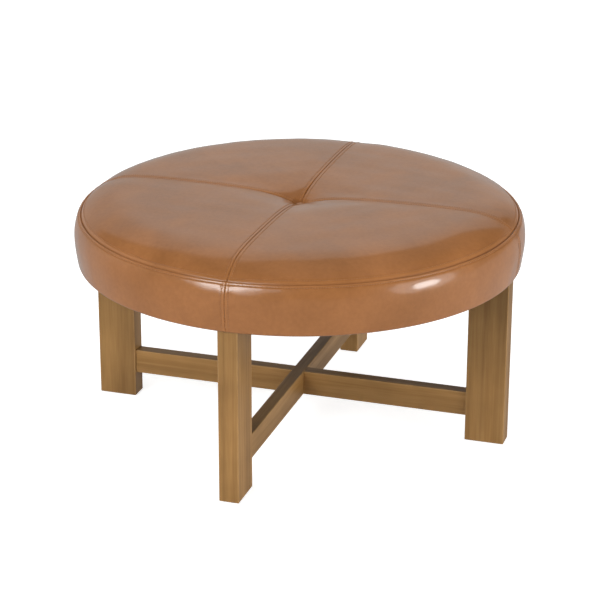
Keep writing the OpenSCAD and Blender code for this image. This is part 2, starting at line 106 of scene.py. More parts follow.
class OttomanSizes(bpy.types.PropertyGroup):
    """Sizes of the soft parts."""

    crown_h: FloatProperty(
        name="Crown height", description="How far the top rises above its edge", default=0.0304, **LENGTH,
    )
    crown_fall: FloatProperty(
        name="Crown fall", description="How far in the crown falls away", default=0.038, **LENGTH,
    )
    shoulder_share: FloatProperty(
        name="Shoulder share", description="Share of the crown in its tight shoulder", default=0.09, **SHARE,
    )
    shoulder_fall: FloatProperty(
        name="Shoulder fall", description="How far in the shoulder falls away", default=0.0038, **LENGTH,
    )
    tuft_h: FloatProperty(
        name="Tuft depth", description="Depth of the wide dip round the button", default=0.024, **LENGTH,
    )
    tuft_fall: FloatProperty(
        name="Tuft reach", description="How far the dip spreads from the button", default=0.045, **LENGTH,
    )
    pocket_h: FloatProperty(
        name="Pocket depth", description="Extra depth of the button's pocket", default=0.009, **LENGTH,
    )
    pocket_r: FloatProperty(
        name="Pocket radius", description="Radius of the button's pocket", default=0.012, **LENGTH,
    )
    puff_h: FloatProperty(
        name="Quarter puff", description="How far a quarter swells above its seams", default=0.007, **LENGTH,
    )
    puff_fall: FloatProperty(
        name="Puff reach", description="How far the swelling takes to rise", default=0.060, **LENGTH,
    )
    band_swell: FloatProperty(
        name="Band swell", description="How far the side bulges beyond the rim", default=0.013, **LENGTH,
    )
    leather_t: FloatProperty(
        name="Leather thickness", description="Thickness of the hide", default=0.0015, **LENGTH,
    )
    stitch_pitch: FloatProperty(
        name="Stitch pitch", description="From one stitch to the next", default=0.0050, **LENGTH,
    )
    stitch_l: FloatProperty(
        name="Stitch length", description="Thread that shows in each stitch", default=0.0036, **LENGTH,
    )
    thread_d: FloatProperty(
        name="Thread thickness", description="Thickness of the stitching thread", default=0.0011, **LENGTH,
    )
    top_row: FloatProperty(
        name="Seam stitch rows", description="From a seam to its stitch rows", default=0.007, **LENGTH,
    )
    rim_row: FloatProperty(
        name="Rim stitch rows", description="From the rim seam to its stitch rows", default=0.006, **LENGTH,
    )
    pleats: IntProperty(
        name="Button pleats", description="Gathers round the button's edge", default=14, min=6, max=30,
    )


class OttomanColours(bpy.types.PropertyGroup):
    """Colours of the finishes, as linear values."""

    leather: FloatVectorProperty(
        name="Leather", description="Main colour of the hide", default=(0.335, 0.135, 0.044), **COLOUR,
    )
    # Painted shade with some real burnishing: the colour laid in the seams, the stitch rows and the button's
    # pocket.
    leather_shaded_burnish: FloatVectorProperty(
        name="Leather folds", description="The hide in its folds", default=(0.17, 0.06, 0.016), **COLOUR,
    )
    # Pull-up paling with a painted highlight: the colour laid on the raised allowances beside the seams.
    leather_pale_and_lit: FloatVectorProperty(
        name="Leather edges", description="The hide drawn tight", default=(0.42, 0.175, 0.058), **COLOUR,
    )
    thread: FloatVectorProperty(
        name="Thread", description="Colour of the stitching", default=(0.39, 0.172, 0.066), **COLOUR,
    )
    wood: FloatVectorProperty(
        name="Wood", description="Main colour of the stained timber", default=(0.385, 0.212, 0.072), **COLOUR,
    )
    wood_dark: FloatVectorProperty(
        name="Wood grain", description="Colour of the darker grain", default=(0.285, 0.148, 0.046), **COLOUR,
    )
    wood_worn: FloatVectorProperty(
        name="Wood edges", description="Colour of the rubbed edges", default=(0.47, 0.28, 0.115), **COLOUR,
    )
    bare_wood: FloatVectorProperty(
        name="Bare timber", description="Unstained timber and plywood", default=(0.52, 0.36, 0.19), **COLOUR,
    )
    cambric: FloatVectorProperty(
        name="Dust cover", description="Cloth under the seat", default=(0.022, 0.022, 0.024), **COLOUR,
    )
    steel: FloatVectorProperty(
        name="Steel", description="Colour of the plated fixings", default=(0.56, 0.57, 0.58), **COLOUR,
    )
    floor: FloatVectorProperty(
        name="Floor", description="Colour of the studio floor", default=(0.72, 0.72, 0.72), **COLOUR,
    )


class OttomanStudio(bpy.types.PropertyGroup):
    """Strengths of the lights."""

    key_power: FloatProperty(
        name="Key light", description="Power of the soft lights at the front left", default=55.0, **POWER,
    )
    side_power: FloatProperty(
        name="Side light", description="Power of the soft lights at the right", default=42.0, **POWER,
    )
    top_power: FloatProperty(
        name="Top light", description="Power of the soft light overhead", default=41.0, **POWER,
    )
    room_light: FloatProperty(
        name="Room light", description="Strength of the light from the pale walls", default=0.65, **SHARE,
    )


# Small helpers for meshes

store = {}


def made_once(name, maker, *values):
    """A thing that several pieces share, made when it is first asked for."""
    if name not in store:
        store[name] = maker(*values)
    return store[name]


def linked_object(name, verts, faces):
    """A mesh object in the scene."""
    mesh = bpy.data.meshes.new(name)
    mesh.from_pydata([tuple(v) for v in verts], [], faces)
    mesh.update()
    made = bpy.data.objects.new(name, mesh)
    bpy.context.scene.collection.objects.link(made)
    return made


def new_piece(name, verts, faces, material, sharp=None):
    """A piece with smooth faces and one material, which keeps edges sharper than the given angle."""
    piece = linked_object(name, verts, faces)
    mesh = piece.data
    mesh.validate()
    mesh.polygons.foreach_set("use_smooth", [True] * len(mesh.polygons))
    if sharp is not None:
        mesh.set_sharp_from_angle(angle=math.radians(sharp))
    mesh.materials.append(material)
    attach(piece, ROOT)
    return piece


def refinish_node(name, material):
    """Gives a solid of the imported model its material."""
    if name not in nodes:
        raise RuntimeError("there is no node named " + name)
    for place in nodes[name].material_slots:
        place.material = material


def set_point_values(piece, name, values):
    """Stores one number for each point, which the material reads."""
    layer = piece.data.attributes.new(name, "FLOAT", "POINT")
    layer.data.foreach_set("value", np.asarray(values, np.float32).ravel())


def sheet_solid(outer, inner, closed=False):
    """Points and faces of a sheet between two grids of points. A closed one is joined all the way round."""
    rows, columns = outer.shape[:2]
    count = rows * columns
    verts = np.concatenate([outer.reshape(-1, 3), inner.reshape(-1, 3)])
    index = np.arange(count).reshape(rows, columns)
    if closed:
        index = np.concatenate([index, index[:, :1]], axis=1)
        borders = [index[0], index[-1, ::-1]]
    else:
        borders = [np.concatenate([index[0, :-1], index[:-1, -1], index[-1, :0:-1], index[::-1, 0]])]
    a, b = index[:-1, :-1].ravel(), index[:-1, 1:].ravel()
    c, d = index[1:, 1:].ravel(), index[1:, :-1].ravel()
    faces = [tuple(map(int, f)) for f in zip(a, d, c, b)]
    faces += [tuple(int(v) + count for v in f) for f in zip(a, b, c, d)]
    for border in borders:
        for here, there in zip(border[:-1].tolist(), border[1:].tolist()):
            faces.append((here, there, there + count, here + count))
    return verts, faces


def even_angles(columns):
    """Angles all the way round."""
    return np.linspace(0, 2 * math.pi, columns, endpoint=False)


def ring_solid(profile, angles):
    """Points and faces of a ring that closes on itself. profile(j, angle) gives its outline as r, z pairs."""
    verts = []
    for j, angle in enumerate(angles):
        r, z = np.asarray(profile(j, angle)).T
        verts.append(np.stack([r * math.cos(angle), r * math.sin(angle), z], axis=1))
    columns, size = len(verts), len(verts[0])
    faces = []
    for j in range(columns):
        here, there = j * size, ((j + 1) % columns) * size
        for k in range(size):
            after = (k + 1) % size
            faces.append((here + k, here + after, there + after, there + k))
    return np.concatenate(verts), faces


def ease(x, low, high):
    """Rises smoothly from 0 at low to 1 at high."""
    t = np.clip((np.asarray(x, float) - low) / (high - low), 0, 1)
    return t * t * (3 - 2 * t)


def fade(x, width, power=2):
    """1 at zero, falling away over a width."""
    return np.exp(-((x / width) ** power))


def relax(field):
    """Evens out a grid of numbers, and leaves its borders."""
    for _ in range(RELAX_ROUNDS):
        around = field[:-2, 1:-1] + field[2:, 1:-1] + field[1:-1, :-2] + field[1:-1, 2:]
        field[1:-1, 1:-1] = 0.5 * field[1:-1, 1:-1] + 0.125 * around
    return field


def outward(degrees):
    """The level direction at an angle round the seat."""
    return Vector((math.cos(math.radians(degrees)), math.sin(math.radians(degrees)), 0))


# The form of the cover

RELAX_ROUNDS = 12
TOP_DROP = 0.001
SEAM_LIFT = 0.55
SEAM_LIFT_START = 0.060
FULLEST, LEANEST = math.radians(135), math.radians(45)
FULL_REACH = math.radians(40)
PILLOW_R = 0.030
BULGE_TURN = math.radians(152.5)
BULGE_POWER = 0.6385


def crown(sizes, r):
    """Share of the crown's full height at a radius."""
    wide = (1 - sizes.shoulder_share) * np.exp((r - EDGE_R) / sizes.crown_fall)
    tight = sizes.shoulder_share * np.exp((r - EDGE_R) / sizes.shoulder_fall)
    return 1 - wide - tight


def plain_top(sizes, r):
    """Height of the top, with its tuft and without the swelling of its quarters."""
    tuft = sizes.tuft_h * np.exp(-r / sizes.tuft_fall) + sizes.pocket_h * fade(r, sizes.pocket_r, 3)
    return RIM_Z - TOP_DROP + sizes.crown_h * crown(sizes, r) - tuft


def seam_distance(r, angle):
    """Distance of a point at a radius from the nearest of the four seams."""
    return r * np.minimum(np.abs(np.sin(angle)), np.abs(np.cos(angle)))


def fullness(angle):
    """How full the padding lies round the seat: the back left quarter is the fullest."""
    turn = np.mod(angle, 2 * math.pi)
    return 1 + 0.27 * fade(turn - FULLEST, FULL_REACH) - 0.2 * fade(turn - LEANEST, FULL_REACH)


def pillow(r, d):
    """Bulge of the quarters' corners round the tuft, between the seams that the button draws down."""
    near = (r / PILLOW_R) * np.exp(1 - r / PILLOW_R)
    return near * (0.0028 * (1 - np.exp(-d / 0.013)) - 0.0010 * np.exp(-d / 0.010))


def puff(sizes, r, angle, share=1.0):
    """Swelling of a quarter, which falls to its seams near the tuft and hardly at all further out."""
    lift = SEAM_LIFT * r * r / (r + SEAM_LIFT_START)
    d = seam_distance(r, angle)
    rise = 1 - np.exp(-(d + lift) / sizes.puff_fall)
    return share * sizes.puff_h * fullness(angle) * rise * crown(sizes, r) + pillow(r, d)


def band_radius(sizes, z):
    """Radius of the side at a height, which bulges most above its middle."""
    drop = np.clip((RIM_Z - z) / BAND_H, 0, 1)
    return RIM_R + sizes.band_swell * np.sin(BULGE_TURN * drop**BULGE_POWER)


def tuck_radius(sizes):
    """Radius of the centre of the tucked edge's curve."""
    return float(band_radius(sizes, TUCK_Z)) - TUCK_R


# Padding, pressed out by a simulation

PAD_VOXEL = 0.007
PAD_PRESSURE = 4.0
PAD_STIFFNESS = 18
PAD_BENDING = 4
PAD_FRAMES = 20
PAD_CAP = 0.0022
PAD_START = 0.95
PAD_INSET = 0.0015
PAD_COLUMNS = 180
MIDDLE_SLACK = 0.0020
SHOULDER_SLACK = 0.0018
# How near to a seam, the rim and the button the pad is held firmly, and where it comes free
HELD_SEAM = (0.004, 0.012)
HELD_RIM = (0.005, 0.014)
HELD_BUTTON = (0.016, 0.030)
HELD_BOARD = (TUCK_Z + 0.002, TUCK_Z + 0.012)
LEAST_WEIGHT = 0.01
# Distances from a seam, the rim, the button and the tuck over which the simulated form takes over
# from the planned one, on the top and on the side
TOP_FROM_SEAM = (0.0, 0.040)
TOP_FROM_RIM = (0.001, 0.016)
TOP_FROM_BUTTON = (0.012, 0.03)
SIDE_FROM_SEAM = (0.002, 0.02)
SIDE_FROM_RIM = (0.004, 0.02)
SIDE_FROM_TUCK = (0.002, 0.016)
SIDE_LIMITS = (-0.0003, 0.004)


def slack(r):
    """How far the pad starts from the cover: low in the middle, which swells, and full at the
    shoulder, which the pressure draws in."""
    inward = RIM_R - r
    shoulder = ease(inward, 0.004, 0.018) * (1 - ease(inward, 0.040, 0.072))
    return SHOULDER_SLACK * shoulder - MIDDLE_SLACK * ease(inward, 0.058, 0.125)


def pad_form(sizes):
    """A closed form close to the finished cover, which the pressure brings to its shape."""
    radii = np.concatenate([np.linspace(0.004, 0.06, 12), np.linspace(0.07, EDGE_R, 60)])
    heights = np.linspace(RIM_Z - PAD_INSET, TUCK_Z, 18)

    def outline(_, angle):
        top = [(r, float(plain_top(sizes, r) + puff(sizes, r, angle, PAD_START) + slack(r))) for r in radii]
        side = [(float(band_radius(sizes, z)) - PAD_INSET, z) for z in heights]
        return top + side + [(r, LEATHER_Z) for r in (tuck_radius(sizes), 0.30, 0.15, 0.004)]

    return ring_solid(outline, even_angles(PAD_COLUMNS))


def hold_weights(points):
    """How firmly the stitching and the board hold each point of the pad, from 0 to 1."""
    x, y, z = points.T
    r = np.hypot(x, y)
    seam = 1 - ease(seam_distance(r, np.arctan2(y, x)), *HELD_SEAM)
    rim = 1 - ease(np.hypot(r - RIM_R, z - RIM_Z), *HELD_RIM)
    button = 1 - ease(r, *HELD_BUTTON)
    board = 1 - ease(z, *HELD_BOARD)
    return np.maximum.reduce([seam, rim, button, board])


def evaluated(piece):
    """The piece as its modifiers leave it."""
    return piece.evaluated_get(bpy.context.evaluated_depsgraph_get())


def swell(piece):
    """Blows the pad up under pressure, and applies the result."""
    start = np.array([v.co for v in piece.data.vertices])
    group = piece.vertex_groups.new(name="held")
    for k, weight in enumerate(hold_weights(start)):
        if weight > LEAST_WEIGHT:
            group.add([k], float(weight), "REPLACE")
    cloth = piece.modifiers.new("pressure", "CLOTH")
    cloth.settings.vertex_group_mass = "held"
    cloth.settings.use_pressure = True
    cloth.settings.uniform_pressure_force = PAD_PRESSURE
    cloth.settings.effector_weights.gravity = 0
    cloth.settings.quality = 4
    cloth.settings.tension_stiffness = PAD_STIFFNESS
    cloth.settings.compression_stiffness = PAD_STIFFNESS
    cloth.settings.bending_stiffness = PAD_BENDING
    cloth.collision_settings.use_collision = False
    cloth.collision_settings.use_self_collision = False
    cloth.point_cache.frame_start = 1
    cloth.point_cache.frame_end = PAD_FRAMES
    scene = bpy.context.scene
    for step in range(1, PAD_FRAMES + 1):
        scene.frame_set(step)
    moved = np.array([v.co for v in evaluated(piece).data.vertices])
    if len(moved) != len(start):
        raise RuntimeError("the simulation changed the pad's points")
    shift = moved - start
    length = np.maximum(np.linalg.norm(shift, axis=1, keepdims=True), 1e-9)
    shift *= np.minimum(1, PAD_CAP / length)
    piece.modifiers.remove(cloth)
    piece.data.vertices.foreach_set("co", (start + shift).ravel())
    piece.data.update()
    scene.frame_set(1)


def pressed_pad(sizes):
    """A search tree of the simulated pad."""
    piece = linked_object("pad_form", *pad_form(sizes))
    remesh = piece.modifiers.new("even", "REMESH")
    remesh.mode = "VOXEL"
    remesh.voxel_size = PAD_VOXEL
    even = bpy.data.meshes.new_from_object(evaluated(piece))
    piece.modifiers.clear()
    piece.data = even
    swell(piece)
    points = [v.co.copy() for v in piece.data.vertices]
    tree = BVHTree.FromPolygons(points, [tuple(p.vertices) for p in piece.data.polygons])
    bpy.data.objects.remove(piece)
    return tree


def top_swell(sizes, x, y, r, angle):
    """Swelling of the top at a grid of points, from the simulated pad where there is one."""
    planned = puff(sizes, r, angle)
    tree = made_once("pad", pressed_pad, sizes)
    if tree is None:
        return planned
    plain = plain_top(sizes, r)
    found = planned.copy()
    for at in np.ndindex(r.shape):
        hit = tree.ray_cast(Vector((x[at], y[at], RIM_Z + ABOVE)), DOWN)[0]
        if hit is not None:
            found[at] = hit.z - plain[at]
    away = ease(seam_distance(r, angle), *TOP_FROM_SEAM) * ease(EDGE_R - r, *TOP_FROM_RIM)
    away = away * ease(r, *TOP_FROM_BUTTON)
    near = puff(sizes, r, angle, PAD_START)
    return near + (relax(found) - near) * away


def side_swell(sizes, angle, z):
    """How far the side stands beyond its planned radius at a grid of points."""
    tree = made_once("pad", pressed_pad, sizes)
    beyond = np.zeros(angle.shape)
    if tree is None:
        return beyond
    for at in np.ndindex(angle.shape):
        out = Vector((math.cos(angle[at]), math.sin(angle[at]), 0))
        hit = tree.ray_cast(out * OUTSIDE + Vector((0, 0, z[at])), -out)[0]
        if hit is not None:
            beyond[at] = math.hypot(hit.x, hit.y) - float(band_radius(sizes, z[at]))
    keep = ease(seam_distance(RIM_R, angle), *SIDE_FROM_SEAM) * ease(RIM_Z - z, *SIDE_FROM_RIM)
    keep = keep * ease(z - TUCK_Z, *SIDE_FROM_TUCK)
    return np.clip(relax(beyond), *SIDE_LIMITS) * keep


# How sewn leather lies at its seams

# How deep each seam turns down, how high its allowance stands, and how far its stitches pull
TOP_SEAM = (0.0007, 0.0003, 0.0001)
RIM_ABOVE = (0.0008, 0.0, 0.0001)
RIM_BELOW = (0.0008, 0.0013, 0.0004)
BAND_SEAM = (0.0006, 0.0002, 0.0002)
FOLD_W = 0.0009
DENT_W = 0.0013
TUFT_MOUTH = 0.034
PUCKER_H = 0.00022
PUCKER_LENGTHS = (0.031, 0.0187)
PUCKER_MIDDLE = 0.009
PUCKER_W = 0.007
WAVE_H = 0.00045
WAVE_LENGTHS = (0.113, 0.087, 0.071, 0.059, 0.048)
# Where seams cross: a height, and how far it reaches across the top's seam and below the rim
CROSSING_TIGHT = (0.0012, 0.013, 0.012)
CROSSING_WIDE = (0.0006, 0.045, 0.035)
CROSSING_BLOCK = (0.0011, 0.0085, 0.0065)
CROSSING_DIP = (0.0022, 0.045, 0.040)
DIP_MIDDLE = 0.012
CROSSING_DROP = 0.75
CROSSING_SHRINK = 0.66


def seam_relief(d, row, form):
    """Height of the leather beside a seam: turned down at the seam, raised over its allowance,
    and drawn down again under the stitches."""
    depth, ridge, pull = form
    turned = -depth * fade(d, FOLD_W)
    raised = ridge * fade(d - row * 0.45, row * 0.36, 4)
    pulled = -pull * fade(d - row, DENT_W)
    return turned + raised + pulled + 0.0001 * fade(d - row - 0.0035, 0.0025)


def narrowing(r):
    """Share of their full width that the seams of the top keep near the tuft."""
    return np.clip(r / TUFT_MOUTH + 0.15, 0.25, 1.0)


def pucker(along, d, seed):
    """Slight waves that a row of stitches leaves in the leather beside it."""
    slow = np.sin(along * 2 * math.pi / PUCKER_LENGTHS[0] + seed)
    quick = 0.7 * np.sin(along * 2 * math.pi / PUCKER_LENGTHS[1] + 2.3 * seed)
    return PUCKER_H * (slow + quick) * fade(d - PUCKER_MIDDLE, PUCKER_W)


def unevenness(u, v, seed):
    """Gentle waves that are left in a hide where it is drawn over padding by hand."""
    total = 0
    for k, length in enumerate(WAVE_LENGTHS):
        heading = 1.7 * k + 0.9 * seed
        along = u * math.cos(heading) + v * math.sin(heading)
        total = total + math.sqrt(length) * np.sin(along * 2 * math.pi / length + 2.1 * k + seed)
    return WAVE_H * total


def crossing(form, across, below, power=2):
    """A height where seams cross, which falls away across the top's seam and below the rim."""
    height, wide, deep = form
    return height * fade(across, wide, power) * fade(below, deep, power)


def crossing_pull(across, below):
    """How far the leather is drawn in where a seam of the top meets the rim seam."""
    return crossing(CROSSING_TIGHT, across, below) + crossing(CROSSING_WIDE, across, below)


def crossing_dip(across, inward):
    """How far the top lies lower where one of its seams nears the rim."""
    return crossing(CROSSING_DIP, across, inward - DIP_MIDDLE)


def crossing_block(across, below):
    """Raised block of layered leather where the seams cross."""
    return crossing(CROSSING_BLOCK, across, below, 4)


def column_angles(r, steps, near):
    """Angles across a quarter, close together beside its two seams. near holds distances from a seam."""
    half = r * math.pi / 4
    scale = min(1.0, half / (near[-1] * 2.2))
    first = [math.asin(min(1.0, d * scale / r)) for d in near]
    last = first[-1]
    middle = [last + (math.pi / 2 - 2 * last) * k / steps for k in range(1, steps)]
    return np.array(first + middle + [math.pi / 2 - a for a in reversed(first)])


# Where the leather's columns lie beside a seam, in metres, and where its rows lie, in millimetres:
# from the rim on the top, from the rim on the band, and from the middle of the tuft
NEAR_SEAM = [d * MM for d in (0.06, 0.5, 0.9, 1.4, 2, 2.8, 3.8, 4.8, 5.6, 6.3, 7, 7.7, 8.5, 9.8, 11.5, 14)]
NEAR_RIM = [0, 0.3, 0.7, 1.2, 1.8, 2.6, 3.4, 4.1, 4.6, 5, 5.5, 6.1, 7, 8.2, 10, 12.5, 15.5, 19]
BELOW_RIM = [0, 0.3, 0.6, 1, 1.5, 2.1, 2.8, 3.4, 3.8, 4.2, 4.7, 5.4, 6.3, 7.5, 9, 11, 13.5, 16.5]
NEAR_TUFT = [3, 5, 7, 8.5, 10, 11.5, 13, 14.5, 16, 18, 20, 22.5, 25, 28, 31.5, 35, 39, 43.5, 48.5, 54, 60]
TOP_MIDDLE = 44
BAND_MIDDLE = 54
BAND_START = 0.0009
ROLL_GAP = 0.00015
ROLL_FALL = 0.0016
GATHER_H = 0.0004
GATHER_COUNT = 128
BESIDE_SEAM = (0.004, 0.03)
ARC_STEPS = 8


def top_grid(sizes, start):
    """Outer face of one quarter of the top, its distances from the seams and the rim, and its radii."""
    radii = np.array([m * MM for m in NEAR_TUFT + list(np.arange(67, 421, 7.0))]
                     + [EDGE_R - d * MM for d in reversed(NEAR_RIM)])
    angle = np.stack([column_angles(r, TOP_MIDDLE, NEAR_SEAM) for r in radii]) + math.radians(start)
    r = np.repeat(radii[:, None], angle.shape[1], axis=1)
    x, y = r * np.cos(angle), r * np.sin(angle)
    d = seam_distance(r, angle)
    rim = EDGE_R - r
    z = plain_top(sizes, r) + top_swell(sizes, x, y, r, angle)
    narrow = narrowing(r)
    z = z + seam_relief(d / narrow, sizes.top_row, TOP_SEAM) * narrow
    z = z + seam_relief(rim, sizes.rim_row, RIM_ABOVE)
    z = z + pucker(r, d, 1.0 + start) * narrow + pucker(angle * RIM_R, rim, 2.0)
    z = z + unevenness(x, y, 1.0 + start) * ease(d, *BESIDE_SEAM) * ease(rim, *BESIDE_SEAM)
    pull = crossing_pull(d, rim)
    z = z - CROSSING_DROP * pull - crossing_dip(d, rim) * ease(rim, 0, 0.006) + crossing_block(d, rim)
    shrink = 1 - CROSSING_SHRINK * pull / r
    return np.stack([x * shrink, y * shrink, z], axis=2), d, rim, r


def band_profile(sizes):
    """Outline of the side: down from the rim seam, round the tucked edge, in under the board."""
    drops = [d * MM for d in BELOW_RIM] + list(np.linspace(0.020, RIM_Z - TUCK_Z - BAND_START, 17))
    rolled_in = float(band_radius(sizes, RIM_Z - BAND_START)) - EDGE_R - ROLL_GAP
    points = []
    for drop in drops:
        z = RIM_Z - BAND_START - drop
        points.append((float(band_radius(sizes, z)) - rolled_in * math.exp(-drop / ROLL_FALL), z))
    turn = tuck_radius(sizes)
    for k in range(1, ARC_STEPS + 1):
        a = math.pi / 2 * k / ARC_STEPS
        points.append((turn + TUCK_R * math.cos(a), TUCK_Z - TUCK_R * math.sin(a)))
    side_count = len(points)
    points += [(float(r), LEATHER_Z) for r in np.linspace(turn, TURNED_R, 8)[1:]]
    return np.array(points), side_count


def band_grid(sizes, start):
    """Outer face of one quarter of the band, its distances from the seams and the rim, and its radii."""
    profile, side_count = band_profile(sizes)
    angles = column_angles(RIM_R, BAND_MIDDLE, NEAR_SEAM) + math.radians(start)
    r, angle = np.meshgrid(profile[:, 0], angles, indexing="ij")
    z = np.repeat(profile[:, 1:], len(angles), axis=1)
    step = np.linalg.norm(np.diff(profile, axis=0), axis=1)
    below = np.repeat(np.concatenate([[0], np.cumsum(step)])[:, None], len(angles), axis=1)
    d = seam_distance(RIM_R, angle)
    tangent = np.gradient(profile, axis=0)
    normal = np.stack([-tangent[:, 1], tangent[:, 0]], axis=1)
    normal /= np.linalg.norm(normal, axis=1, keepdims=True)
    side = (np.arange(len(profile)) < side_count)[:, None]
    r[:side_count] += side_swell(sizes, angle[:side_count], z[:side_count])
    lift = seam_relief(below, sizes.rim_row, RIM_BELOW) + pucker(angle * RIM_R, below, 3.0)
    lift += seam_relief(d, sizes.top_row, BAND_SEAM) + pucker(below, d, 4.0 + start)
    lift += unevenness(angle * RIM_R, z, 5.0 + start) * ease(d, *BESIDE_SEAM) * ease(below, 0.004, 0.02)
    lift += crossing_block(d, below) - crossing_pull(d, below)
    lift *= side * ease(z, LEATHER_Z, TUCK_Z + 0.006)
    r = r + normal[:, :1] * lift
    z = z + normal[:, 1:] * lift
    turned = ease(TURNED_R + 0.046 - r, 0.0, 0.03) * ~side
    z = z + GATHER_H * turned * (0.5 + 0.5 * np.sin(angle * GATHER_COUNT + 1.3 * np.sin(angle * 17)))
    return np.stack([r * np.cos(angle), r * np.sin(angle), z], axis=2), d, below, r


def seam_marks(d, rim, r, sizes):
    """Where the hide is darkened along its seams and in the tuft, by burnishing and by painted shade in the
    grooves and the button's pocket, and where it is drawn pale, with a painted highlight on the allowances.
    """
    row, rim_row = sizes.top_row, sizes.rim_row
    # dark: real burnishing along the seams, and painted shade in the seam grooves, the stitch dents and the
    # button's pocket. pale: pull-up paling, and a painted highlight on the raised allowances.
    dark = 0.55 * fade(d, 0.0010) + 0.7 * fade(rim, 0.0011)
    dark = dark + 0.12 * fade(d - row, 0.0010) + 0.06 * fade(rim - rim_row, 0.0010) + 0.8 * fade(r, 0.0125, 4)
    pale = fade(d - row * 0.45, row * 0.34) + fade(rim - rim_row * 0.5, rim_row * 0.4)
    return np.clip(dark, 0, 1), np.clip(pale, 0, 1)


def lay_leather(context, grid_of, stem, node_stem):
    """Four closed pieces of hide, one a quarter, each under a grid of points on its outer face."""
    sizes = context.scene.ottoman_sizes
    leather = made_once("leather", leather_finish, context.scene.ottoman_colours)
    for quarter, start in QUARTERS:
        grid, d, rim, r = grid_of(sizes, start)
        normal = np.cross(np.gradient(grid, axis=0), np.gradient(grid, axis=1))
        normal = normal / np.maximum(np.linalg.norm(normal, axis=2, keepdims=True), 1e-12)
        verts, faces = sheet_solid(grid, grid - normal * sizes.leather_t)
        piece = new_piece(stem + quarter, verts, faces, leather, sharp=62)
        # Each piece stores on its points its darkening, burnishing with painted shade, and its paling with a
        # painted highlight.
        for kind, values in zip(("burnish_and_shade", "tight"), seam_marks(d, rim, r, sizes)):
            set_point_values(piece, kind, np.concatenate([values.ravel(), values.ravel()]))
        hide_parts(node_stem + quarter)


# Materials


class Nodes:
    """Short ways to add nodes to one node tree. Each gives the new node's socket."""

    def __init__(self, tree):
        self.tree = tree

    def add(self, kind, inputs, out=0, **settings):
        """A node with its settings, and its inputs linked to a socket or set to a value."""
        node = self.tree.nodes.new(kind)
        for key, value in settings.items():
            setattr(node, key, value)
        for key, value in inputs.items():
            if isinstance(value, bpy.types.NodeSocket):
                self.tree.links.new(value, node.inputs[key])
            else:
                node.inputs[key].default_value = value
        return node.outputs[out]

    def place(self, scale=(1, 1, 1), shift=(0, 0, 0)):
        """Position in the object, stretched by a scale and moved."""
        where = self.add("ShaderNodeTexCoord", {}, "Object")
        return self.add("ShaderNodeMapping", {"Vector": where, "Scale": scale, "Location": shift})

    def axis(self, vector, number):
        return self.add("ShaderNodeSeparateXYZ", {"Vector": vector}, number)

    def ray(self, kind):
        return self.add("ShaderNodeLightPath", {}, kind)

    def point(self, name):
        """A number stored on the mesh's points."""
        return self.add("ShaderNodeAttribute", {}, "Fac", attribute_name=name)

    def noise(self, vector, scale, detail=2.0, rough=0.5, twist=0.0):
        inputs = {"Vector": vector, "Scale": scale, "Detail": detail, "Roughness": rough, "Distortion": twist}
        return self.add("ShaderNodeTexNoise", inputs)

    def cells(self, vector, scale):
        return self.add("ShaderNodeTexVoronoi", {"Vector": vector, "Scale": scale})

    def remap(self, value, low, high, to_low=0.0, to_high=1.0):
        """A value moved from one range to another, and kept inside it."""
        inputs = {"Value": value, "From Min": low, "From Max": high, "To Min": to_low, "To Max": to_high}
        return self.add("ShaderNodeMapRange", inputs)

    def blend(self, share, first, second, how="MIX"):
        """A mix of two colours, each a socket or three numbers."""
        colours = [c if isinstance(c, bpy.types.NodeSocket) else (*c, 1.0) for c in (first, second)]
        inputs = {0: share, 6: colours[0], 7: colours[1]}
        return self.add("ShaderNodeMix", inputs, 2, data_type="RGBA", blend_type=how)

    def tint(self, base, pattern, low, high, dark, pale):
        """A colour multiplied by a range of tones that follows a pattern."""
        return self.blend(1.0, base, self.blend(self.remap(pattern, low, high), dark, pale), "MULTIPLY")

    def sums(self, how, first, second=0.0):
        """Arithmetic on two values."""
        return self.add("ShaderNodeMath", {0: first, 1: second}, operation=how)

    def times(self, first, second):
        return self.sums("MULTIPLY", first, second)

    def plus(self, first, second):
        return self.sums("ADD", first, second)


class Finish(Nodes):
    """A new material on its way to being finished."""

    def __init__(self, name):
        self.material = bpy.data.materials.new(name)
        self.material.use_nodes = True
        super().__init__(self.material.node_tree)
        self.shader = self.tree.nodes["Principled BSDF"]

    def link(self, socket, name):
        self.tree.links.new(socket, self.shader.inputs[name])

    def done(self, base, rough, height, strength, depth):
        """The material with its colour, its roughness and its relief."""
        self.link(base, "Base Color")
        self.link(rough, "Roughness")
        relief = {"Height": height, "Strength": strength, "Distance": depth}
        self.link(self.add("ShaderNodeBump", relief), "Normal")
        return self.material

    def plain(self, pattern, spread, dark, pale, rough, relief):
        """The material where one pattern gives its colour, between two, its roughness and its relief."""
        base = self.blend(self.remap(pattern, *spread), dark, pale)
        return self.done(base, self.remap(pattern, 0.3, 0.7, *rough), pattern, *relief)


def shade(colour, share):
    """A colour made darker or paler."""
    return [c * share for c in colour]


def grey(level):
    return (level, level, level)


